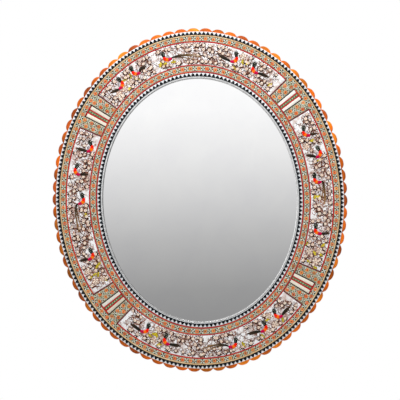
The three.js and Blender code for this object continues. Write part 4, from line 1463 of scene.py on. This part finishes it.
class MIRROR_OT_flower_blocks(bpy.types.Operator):
    """Builds the eight blocks of flowers beside the striped tiles"""

    bl_idname = "mirror.flower_blocks"
    bl_label = "Flower blocks"

    def execute(self, context):
        for index, (centre, corner) in enumerate(zip(DIVIDERS, CORNERS)):
            before, after = f"flower_block_before_{corner}", f"flower_block_after_{corner}"
            flower_block(before, centre - BLOCK_END, centre - BLOCK_START, False, 20 + index)
            flower_block(after, centre + BLOCK_START, centre + BLOCK_END, True, 30 + index)
        return {"FINISHED"}


class MIRROR_OT_striped_tiles(bpy.types.Operator):
    """Builds the four tiles: cream planks, red cords and a green row of leaves"""

    bl_idname = "mirror.striped_tiles"
    bl_label = "Striped tiles"

    def execute(self, context):
        for index, (centre, corner) in enumerate(zip(DIVIDERS, CORNERS)):
            self.tile(centre, corner, draws(60 + index))
        return {"FINISHED"}

    def tile(self, centre, corner, source):
        tint = colours()
        inner, outer = BANDS["frieze"]
        width = outer - inner
        near = along_frieze(GREEN_STRIPE / 2)
        far = near + along_frieze(RED_STRIPE)
        floor = GROOVE_FLOOR - SUNK
        bed = board_section(width, INLAY_BACK, GROOVE_FLOOR, 0.1 * MM)
        plank = board_section(width, floor, INLAY_FRONT, 0.25 * MM)
        ends = centre - TILE_HALF, centre + TILE_HALF
        shapes = [sector(*ends, inner, outer, bed, 8, paint=linear(tint.red))]
        for start, end in ((ends[0], centre - far), (centre + far, ends[1])):
            cream = between(tint.cream, (0.93, 0.93, 0.92), 1, source, 0.03)[0]
            shapes.append(sector(start, end, inner, outer, plank, 8, paint=cream))
        low = board_section(width, floor, INLAY_FRONT - 0.25 * MM, 0.2 * MM)
        moss = linear((0.36, 0.47, 0.33))
        shapes.append(sector(centre - near, centre + near, inner, outer, low, 8, paint=moss))
        across = inner + width * np.linspace(0.01, 0.99, 20)
        for edge in (centre - (near + far) / 2, centre + (near + far) / 2):
            line = oval(np.full(20, edge), across)[None]
            shapes.append(ribbons(line, 0.92 * MM, floor, 0.65 * MM, linear(tint.red)[None]))
        count = 8
        steps = inner + width * (np.arange(count) + 0.5) / count
        turns = heading(np.full(count, centre)) + np.pi / 2
        middle = oval(np.full(count, centre), steps)
        light = between((0.62, 0.72, 0.50), (0.78, 0.84, 0.66), count, source, 0.06)
        dark = between(tint.forest, (0.26, 0.40, 0.28), count, source, 0.1)
        base = INLAY_FRONT - 0.45 * MM
        shapes.append(domes(middle, turns + 0.5, 5.2 * MM, 2.3 * MM, base, 0.6 * MM, light, sides=8))
        halfway = (middle[1:] + middle[:-1]) / 2
        shapes.append(domes(halfway, turns[1:] + 0.5, 3.2 * MM, 1.1 * MM, base, 0.65 * MM, dark[1:],
                            point=0.3))
        dress([f"stripe_tile_{corner}"], "painted", shapes, FINISHES["tile"])


class MIRROR_OT_frieze(bpy.types.Operator):
    """Builds the four long panels with birds among roses"""

    bl_idname = "mirror.frieze"
    bl_label = "Frieze panels"

    def execute(self, context):
        for index in range(len(SIDES)):
            frieze_panel(index)
        return {"FINISHED"}


class MIRROR_OT_carcass(bpy.types.Operator):
    """Finishes the carcass, the backing board, the packing sheet and the mirror"""

    bl_idname = "mirror.carcass"
    bl_label = "Carcass and glass"

    def execute(self, context):
        wood = colours().wood
        level = wood_finish("bare_wood_level", wood, (1, 0, 0), 0.62)
        upright = wood_finish("bare_wood_upright", tuple(0.97 * part for part in wood), (0, 0, 1), 0.62)
        coat_node(["carcass_top", "carcass_bottom"], level)
        coat_node(["carcass_left", "carcass_right"], upright)
        hardboard = patched_finish("hardboard", (0.52, 0.38, 0.26), (0.45, 0.32, 0.21), 420, 0.8)
        coat_node(["backing_board"], hardboard)
        card = patched_finish("grey_card", (0.58, 0.55, 0.50), (0.52, 0.49, 0.44), 300, 0.9)
        coat_node(["packing_sheet"], card)
        coat_node(["mirror_glass"], mirror_finish("silvered_glass"))
        return {"FINISHED"}


def lathed(profile, spot, sides=48, recess=None, face_rows=0):
    """Surface of revolution square to the wall: (x, z) = spot + radius * (cos a, sin a) at each depth of the
    profile, whose first and last rows are its poles; a recess adds its depth to the rows of the first face"""
    profile = np.asarray(profile, dtype=float)
    angles = 2 * np.pi * np.arange(sides) / sides
    radius = profile[1:-1, 0][:, None]
    x, z = radius * np.cos(angles), radius * np.sin(angles)
    depth = np.repeat(profile[1:-1, 1:], sides, axis=1)
    if recess is not None:
        depth[:face_rows] += recess(x[:face_rows], z[:face_rows])
    rows = len(radius)
    corners = np.stack([spot[0] + x, -depth, spot[1] + z], -1).reshape(-1, 3)
    first = profile[0, 1] + (recess(0.0, 0.0) if recess is not None else 0.0)
    poles = np.array([[spot[0], -first, spot[1]], [spot[0], -profile[-1, 1], spot[1]]])
    corners = np.concatenate([corners, poles])
    step = np.arange(sides)
    after = (step + 1) % sides
    row = (np.arange(rows - 1) * sides)[:, None]
    near, far = np.full(sides, rows * sides), np.full(sides, rows * sides + 1)
    last = (rows - 1) * sides
    caps = np.concatenate([np.stack([near, after, step], -1), np.stack([far, last + step, last + after], -1)])
    return shape_of(corners, [joined(row, row + sides, sides), caps])


def tube(line, spot, depth, radius, sides=16):
    """Round wire along a closed line: corner = line + radius * (cos a to the left, sin a in depth)"""
    ahead = np.roll(line, -1, axis=0) - np.roll(line, 1, axis=0)
    ahead /= np.linalg.norm(ahead, axis=1, keepdims=True)
    left = np.stack([-ahead[:, 1], ahead[:, 0]], -1)
    angles = 2 * np.pi * np.arange(sides) / sides
    flat = line[:, None, :] + radius * np.cos(angles)[None, :, None] * left[:, None, :]
    depths = np.broadcast_to(depth + radius * np.sin(angles), flat.shape[:2])
    corners = np.stack([spot[0] + flat[..., 0], -depths, spot[1] + flat[..., 1]], -1)
    here = (np.arange(len(line)) * sides)[:, None]
    return shape_of(corners, [joined(here, np.roll(here, -1, axis=0), sides)])


def pierced_plate(outline, hole, spot, turn, back, front, bevel):
    """Plate between a round hole and an outline, its edges on the wall side cut back by the bevel; the
    drawing is turned clockwise"""
    angles = np.arctan2(outline[:, 0], outline[:, 1])
    rim = hole * np.stack([np.sin(angles), np.cos(angles)], -1)
    edge = bevel / np.linalg.norm(outline - rim, axis=1)
    ends = np.zeros(len(outline))
    shares = [edge * 0.4, 1 - edge, 1 - 0.3 * edge, ends + 1, ends + 1, ends, ends]
    depths = [back, back, back + 0.3 * bevel, back + bevel, front, front, back + 0.4 * bevel]
    placed = [spot + rotated(line, -turn) for line in (rim, outline)]
    return carry(*placed, varied_section(shares, depths), closed=True)


def arc(centre, radius, start, end, count=25):
    """Points from one angle to another, counted in degrees clockwise from straight up"""
    angles = np.radians(np.linspace(start, end, count))
    return np.asarray(centre) + np.stack([radius[0] * np.sin(angles), radius[1] * np.cos(angles)], -1)


def straight(start, end, count):
    """Points on a line up to but not including its end, close enough to keep a round hole round"""
    return np.linspace(start, end, count, endpoint=False)


class MIRROR_OT_fittings(bpy.types.Operator):
    """Builds the turn buttons, hangers, screws and bumpers with smooth rounds, bevels and cross recesses"""

    bl_idname = "mirror.fittings"
    bl_label = "Fittings"

    def execute(self, context):
        steel = metal_finish("zinc_steel", (0.74, 0.75, 0.76), 0.38)
        brass = metal_finish("brass_plate", (0.80, 0.66, 0.36), 0.34)
        rubber = patched_finish("black_rubber", (0.10, 0.10, 0.105), (0.13, 0.13, 0.13), 500, 0.75)
        for quarter, side in enumerate(SIDES):
            spot = self.spot(f"button_screw_{side}")
            self.button(side, spot, quarter * np.pi / 2, brass)
            self.screw(f"button_screw_{side}", spot, BUTTON_BACK, BUTTON_SCREW, steel)
        for side in ("right", "left"):
            screw = self.spot(f"strap_screw_{side}")
            eye = screw + [0, STRAP_SCREW_DROP]
            self.strap(side, eye, steel)
            self.ring(side, eye, steel)
            self.screw(f"strap_screw_{side}", screw, STRAP_BACK, STRAP_SCREW, steel)
            self.bumper(side, rubber)
        return {"FINISHED"}

    def spot(self, node):
        low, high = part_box(node)
        return np.array([(low[0] + high[0]) / 2, (low[2] + high[2]) / 2])

    def button(self, side, spot, turn, brass):
        """Plate with two half-round ends, longer towards the glass"""
        half = BUTTON_WIDTH / 2
        high, low = BUTTON_TAIL - half, half - BUTTON_REACH
        outline = np.concatenate([
            arc((0, high), (half, half), -90, 90), straight((half, high), (half, low), 18)[1:],
            arc((0, low), (half, half), 90, 270), straight((-half, low), (-half, high), 18)[1:],
        ])
        shape = pierced_plate(outline, SCREW_BORE, spot, turn, BUTTON_BACK, FITTING_FRONT, 0.35 * MM)
        dress([f"turn_button_{side}"], "brass", [shape], [brass], f"button_{side}", crease=12)

    def screw(self, node, spot, plate, length, steel):
        """Domed head with a rounded rim and a cross recess, over a shank that runs to a point"""
        face = plate - GAP - SCREW_HEIGHT
        head = SCREW_HEAD / 2
        radii = np.linspace(0, 0.9 * head, 15)
        dome = np.stack([radii, face + 0.25 * MM * (radii / head) ** 2], -1)
        bend = np.linspace(0, np.pi / 2, 5)
        edge = face + 0.22 * MM + 0.5 * MM * (1 - np.cos(bend))
        rim = np.stack([0.9 * head + 0.1 * head * np.sin(bend), edge], -1)
        under = face + SCREW_HEIGHT
        tip = under + length
        shank = SCREW_SHANK / 2
        blunt = 0.2 * MM
        rest = [[head, under], [shank, under], [shank, tip - SCREW_POINT], [blunt, tip - blunt], [0, tip]]
        profile = np.concatenate([dome, rim, rest])

        def recess(x, z):
            """Two crossed slots: the depth times how far a point is inside an arm's width and its length"""
            narrow = np.minimum(np.abs(x), np.abs(z))
            wide = np.maximum(np.abs(x), np.abs(z))
            beside = np.clip((RECESS_HALF - narrow) / RECESS_SIDE, 0, 1)
            return RECESS_DEPTH * beside * np.clip((RECESS_REACH - wide) / RECESS_END, 0, 1)

        shape = lathed(profile, spot, 72, recess, len(dome) - 1)
        dress([node], "smooth", [shape], [steel], crease=35)

    def strap(self, side, eye, steel):
        """Pierced plate with a half-round foot, and above it a curl of 250 degrees round the ring's bar"""
        half = STRAP_WIDTH / 2
        drop = STRAP_SCREW_DROP
        foot = drop - STRAP_LENGTH + half
        outline = np.concatenate([
            straight((0, drop), (half, drop), 4), straight((half, drop), (half, foot), 26),
            arc((0, foot), (half, half), 90, 270), straight((-half, foot), (-half, drop), 26)[1:],
            straight((-half, drop), (0, drop), 4),
        ])
        plate = pierced_plate(outline, SCREW_BORE, eye - [0, drop], 0.0, STRAP_BACK, FITTING_FRONT, 0.25 * MM)
        angles = np.radians(np.linspace(0, CURL_DEGREES, 41))
        axis = STRAP_BACK - RING_WIRE / 2 - GAP
        inner, outer = RING_WIRE / 2 + GAP, RING_WIRE / 2 + GAP + STRAP_THICKNESS
        edge = 0.25 * MM
        rim = np.array([
            [-half + edge, inner], [half - edge, inner], [half, inner + edge], [half, outer - edge],
            [half - edge, outer], [-half + edge, outer], [-half, outer - edge], [-half, inner + edge],
        ])
        depth = axis + rim[None, :, 1] * np.cos(angles)[:, None]
        height = rim[None, :, 1] * np.sin(angles)[:, None]
        across = np.broadcast_to(rim[None, :, 0], depth.shape)
        corners = np.stack([eye[0] + across, -depth, eye[1] + height], -1)
        size = len(rim)
        row = (np.arange(len(angles)) * size)[:, None]
        first = np.arange(size)[None, :]
        quads = joined(row[:-1], row[1:], size, mirrored=True)
        curl = shape_of(corners, [quads, first, row[-1] + first[:, ::-1]])
        dress([f"hanger_strap_{side}"], "smooth", [plate, curl], [steel], crease=12)

    def ring(self, side, eye, steel):
        """Wire bent to a D: straight bar, two small corners and half an ellipse below"""
        half, corner = RING_HALF, RING_CORNER
        bend = np.concatenate([
            [[corner - half, 0]], arc((half - corner, -corner), (corner, corner), 0, 90, 10),
            arc((0, -corner), (half, RING_DROP - corner), 90, 270, 61)[1:],
            arc((corner - half, -corner), (corner, corner), 270, 360, 10)[1:],
        ])
        steps = np.concatenate([[0], np.cumsum(np.linalg.norm(np.diff(bend, axis=0), axis=1))])
        even = np.linspace(0, steps[-1], 121)[:-1]
        line = np.stack([np.interp(even, steps, channel) for channel in bend.T], -1)
        shape = tube(line, eye, STRAP_BACK - RING_WIRE / 2 - GAP, RING_WIRE / 2)
        dress([f"hanger_ring_{side}"], "smooth", [shape], [steel], f"ring_{side}", crease=60)

    def bumper(self, side, rubber):
        """Cone with rounded edges and a shallow dish on the wall side"""
        back = CARCASS_BACK - GAP
        dish = np.linspace(0, BUMPER_DISH, 6)
        cone = MM * np.array([[5.6, 0], [6.1, 0.08], [6.4, 0.3], [6.6, 0.7], [7.85, 5.2], [7.9, 5.5]])
        hollow = np.stack([dish, 0.5 * MM * (1 - (dish / BUMPER_DISH) ** 2)], -1)
        profile = np.concatenate([hollow, cone, [[7.7 * MM, back], [0, back]]])
        shape = lathed(profile, self.spot(f"bumper_{side}"))
        dress([f"bumper_{side}"], "smooth", [shape], [rubber])


def add_maths(tree, operation, first, second):
    node = tree.nodes.new("ShaderNodeMath")
    node.operation = operation
    tree.links.new(first, node.inputs[0])
    tree.links.new(second, node.inputs[1])
    return node.outputs[0]


def add_shader_mix(tree, share, first, second):
    node = tree.nodes.new("ShaderNodeMixShader")
    for socket, value in zip(node.inputs, (share, first, second)):
        tree.links.new(value, socket)
    return node.outputs[0]


def add_light(tree, strength=1.0, colour=None):
    """Light of the sky, white unless a colour is linked"""
    node = tree.nodes.new("ShaderNodeBackground")
    node.inputs["Color"].default_value = (1, 1, 1, 1)
    node.inputs["Strength"].default_value = strength
    if colour is not None:
        tree.links.new(colour, node.inputs["Color"])
    return node.outputs[0]


class MIRROR_OT_stage(bpy.types.Operator):
    """Sets the floor, the sky, the lamp and the camera"""

    bl_idname = "mirror.stage"
    bl_label = "Stage"

    def execute(self, context):
        self.floor()
        self.world()
        self.lamp()
        self.camera()
        bpy.context.scene.view_settings.view_transform = "Standard"
        return {"FINISHED"}

    def floor(self):
        """Flat disc: corner = reach * r * (cos a, sin a)"""
        stage = bpy.context.scene.mirror_stage
        rounds, spokes = 8, 64
        radius = np.linspace(0, 1, rounds + 1)[1:, None]
        angles = np.linspace(0, 2 * np.pi, spokes + 1)[None, :-1]
        x = (radius * np.cos(angles)).ravel() * stage.floor_reach
        y = (radius * np.sin(angles)).ravel() * stage.floor_reach
        corners = np.stack([x, y, np.full(x.size, stage.floor_level)], -1)
        corners = np.concatenate([corners, [[0, 0, stage.floor_level]]])
        spoke = np.arange(spokes)
        row = (np.arange(rounds - 1) * spokes)[:, None]
        quads = joined(row, row + spokes, spokes, mirrored=True)
        middle = np.stack([np.full(spokes, rounds * spokes), spoke, (spoke + 1) % spokes], -1)
        mesh = bpy.data.meshes.new("floor")
        mesh.from_pydata(corners.tolist(), [], quads.tolist() + middle.tolist())
        mesh.update()
        floor = bpy.data.objects.new("floor", mesh)
        bpy.context.scene.collection.objects.link(floor)
        mesh.materials.append(self.floor_finish(stage))

    def floor_finish(self, stage):
        """Pale plaster that gives way to white towards its edge, for the camera and for reflections"""
        finish = Finish("pale_floor", 0.8)
        colour = finish.toned((0.93, 0.93, 0.92), finish.noise(9, 4.0), 0.015)
        finish.done(colour, finish.noise(20, 2.0), 0.05)
        tree = finish.material.node_tree
        distance = finish.vector_maths("LENGTH", finish.stretched((1, 1, 0)))
        edge = finish.span(distance, 0.45 * stage.floor_reach, 0.95 * stage.floor_reach)
        path = tree.nodes.new("ShaderNodeLightPath")
        seen = add_maths(tree, "MAXIMUM", path.outputs["Is Camera Ray"], path.outputs["Is Glossy Ray"])
        share = add_maths(tree, "MULTIPLY", edge, seen)
        white = tree.nodes.new("ShaderNodeEmission")
        blend = add_shader_mix(tree, share, finish.shader.outputs[0], white.outputs[0])
        tree.links.new(blend, tree.nodes["Material Output"].inputs["Surface"])
        return finish.material

    def world(self):
        """White to the camera, even to matt surfaces, and to glossy ones a wall that darkens downwards"""
        stage = bpy.context.scene.mirror_stage
        world = bpy.data.worlds.new("studio")
        bpy.context.scene.world = world
        world.use_nodes = True
        tree = world.node_tree
        nodes, links = tree.nodes, tree.links
        nodes.clear()
        place = nodes.new("ShaderNodeTexCoord")
        parts = nodes.new("ShaderNodeSeparateXYZ")
        links.new(place.outputs["Generated"], parts.inputs[0])
        height = nodes.new("ShaderNodeMapRange")
        height.inputs["From Min"].default_value = -0.25
        height.inputs["From Max"].default_value = 0.25
        links.new(parts.outputs["Z"], height.inputs["Value"])
        ramp = nodes.new("ShaderNodeValToRGB")
        while len(ramp.color_ramp.elements) < len(REFLECTED_WALL):
            ramp.color_ramp.elements.new(0.5)
        for element, (position, level) in zip(ramp.color_ramp.elements, REFLECTED_WALL):
            element.position = position
            element.color = (*linear((level, level, level)), 1.0)
        links.new(height.outputs["Result"], ramp.inputs["Fac"])
        path = nodes.new("ShaderNodeLightPath")
        seen = add_maths(tree, "MAXIMUM", path.outputs["Is Camera Ray"], path.outputs["Is Transmission Ray"])
        reflected = add_light(tree, colour=ramp.outputs["Color"])
        lit = add_shader_mix(tree, path.outputs["Is Glossy Ray"], add_light(tree, stage.sky), reflected)
        shown = add_shader_mix(tree, seen, lit, add_light(tree))
        links.new(shown, nodes.new("ShaderNodeOutputWorld").inputs["Surface"])

    def lamp(self):
        """Square lamp above and before the top of the frame, turned to look at it"""
        stage = bpy.context.scene.mirror_stage
        light = bpy.data.lights.new("soft_lamp", "AREA")
        light.shape = "SQUARE"
        light.size = stage.lamp_size
        light.energy = stage.lamp
        lamp = bpy.data.objects.new("soft_lamp", light)
        bpy.context.scene.collection.objects.link(lamp)
        aim = np.subtract(LAMP_AIM, LAMP_PLACE)
        lamp.location = LAMP_PLACE
        lamp.rotation_euler = (
            math.atan2(math.hypot(aim[0], aim[1]), -aim[2]), 0.0, math.atan2(-aim[0], aim[1]),
        )

    def camera(self):
        stage = bpy.context.scene.mirror_stage
        data = bpy.data.cameras.new("camera")
        data.lens = 100
        data.sensor_width = 36
        data.clip_end = 20
        camera = bpy.data.objects.new("camera", data)
        bpy.context.scene.collection.objects.link(camera)
        camera.location = (0, -stage.camera_distance, 0)
        camera.rotation_euler = (math.pi / 2, stage.camera_roll, 0.0)
        bpy.context.scene.camera = camera


OPERATORS = (
    MIRROR_OT_stage,
    MIRROR_OT_finishes,
    MIRROR_OT_scalloped_rim,
    MIRROR_OT_dogtooth,
    MIRROR_OT_bead,
    MIRROR_OT_red_lines,
    MIRROR_OT_flower_strips,
    MIRROR_OT_flower_blocks,
    MIRROR_OT_striped_tiles,
    MIRROR_OT_frieze,
    MIRROR_OT_carcass,
    MIRROR_OT_fittings,
)


class MIRROR_PT_panel(bpy.types.Panel):
    """Lists the steps, and the sizes and colours they use"""

    bl_idname = "MIRROR_PT_panel"
    bl_label = "Inlaid mirror"
    bl_space_type = "VIEW_3D"
    bl_region_type = "UI"
    bl_category = "Mirror"

    def draw(self, context):
        for operator in OPERATORS:
            self.layout.operator(operator.bl_idname)
        for group in (context.scene.mirror_sizes, context.scene.mirror_colours, context.scene.mirror_stage):
            box = self.layout.box()
            for name in group.__annotations__:
                box.prop(group, name)


GROUPS = (("mirror_sizes", MirrorSizes), ("mirror_colours", MirrorColours), ("mirror_stage", MirrorStage))


def register():
    for name, group in GROUPS:
        bpy.utils.register_class(group)
        setattr(bpy.types.Scene, name, bpy.props.PointerProperty(type=group))
    for operator in OPERATORS:
        bpy.utils.register_class(operator)
    bpy.utils.register_class(MIRROR_PT_panel)


def unregister():
    bpy.utils.unregister_class(MIRROR_PT_panel)
    for operator in reversed(OPERATORS):
        bpy.utils.unregister_class(operator)
    for name, group in reversed(GROUPS):
        delattr(bpy.types.Scene, name)
        bpy.utils.unregister_class(group)


def main():
    register()
    for operator in OPERATORS:
        step = getattr(bpy.ops.mirror, operator.bl_idname.split(".")[1])
        step()


if __name__ == "__main__":
    main()
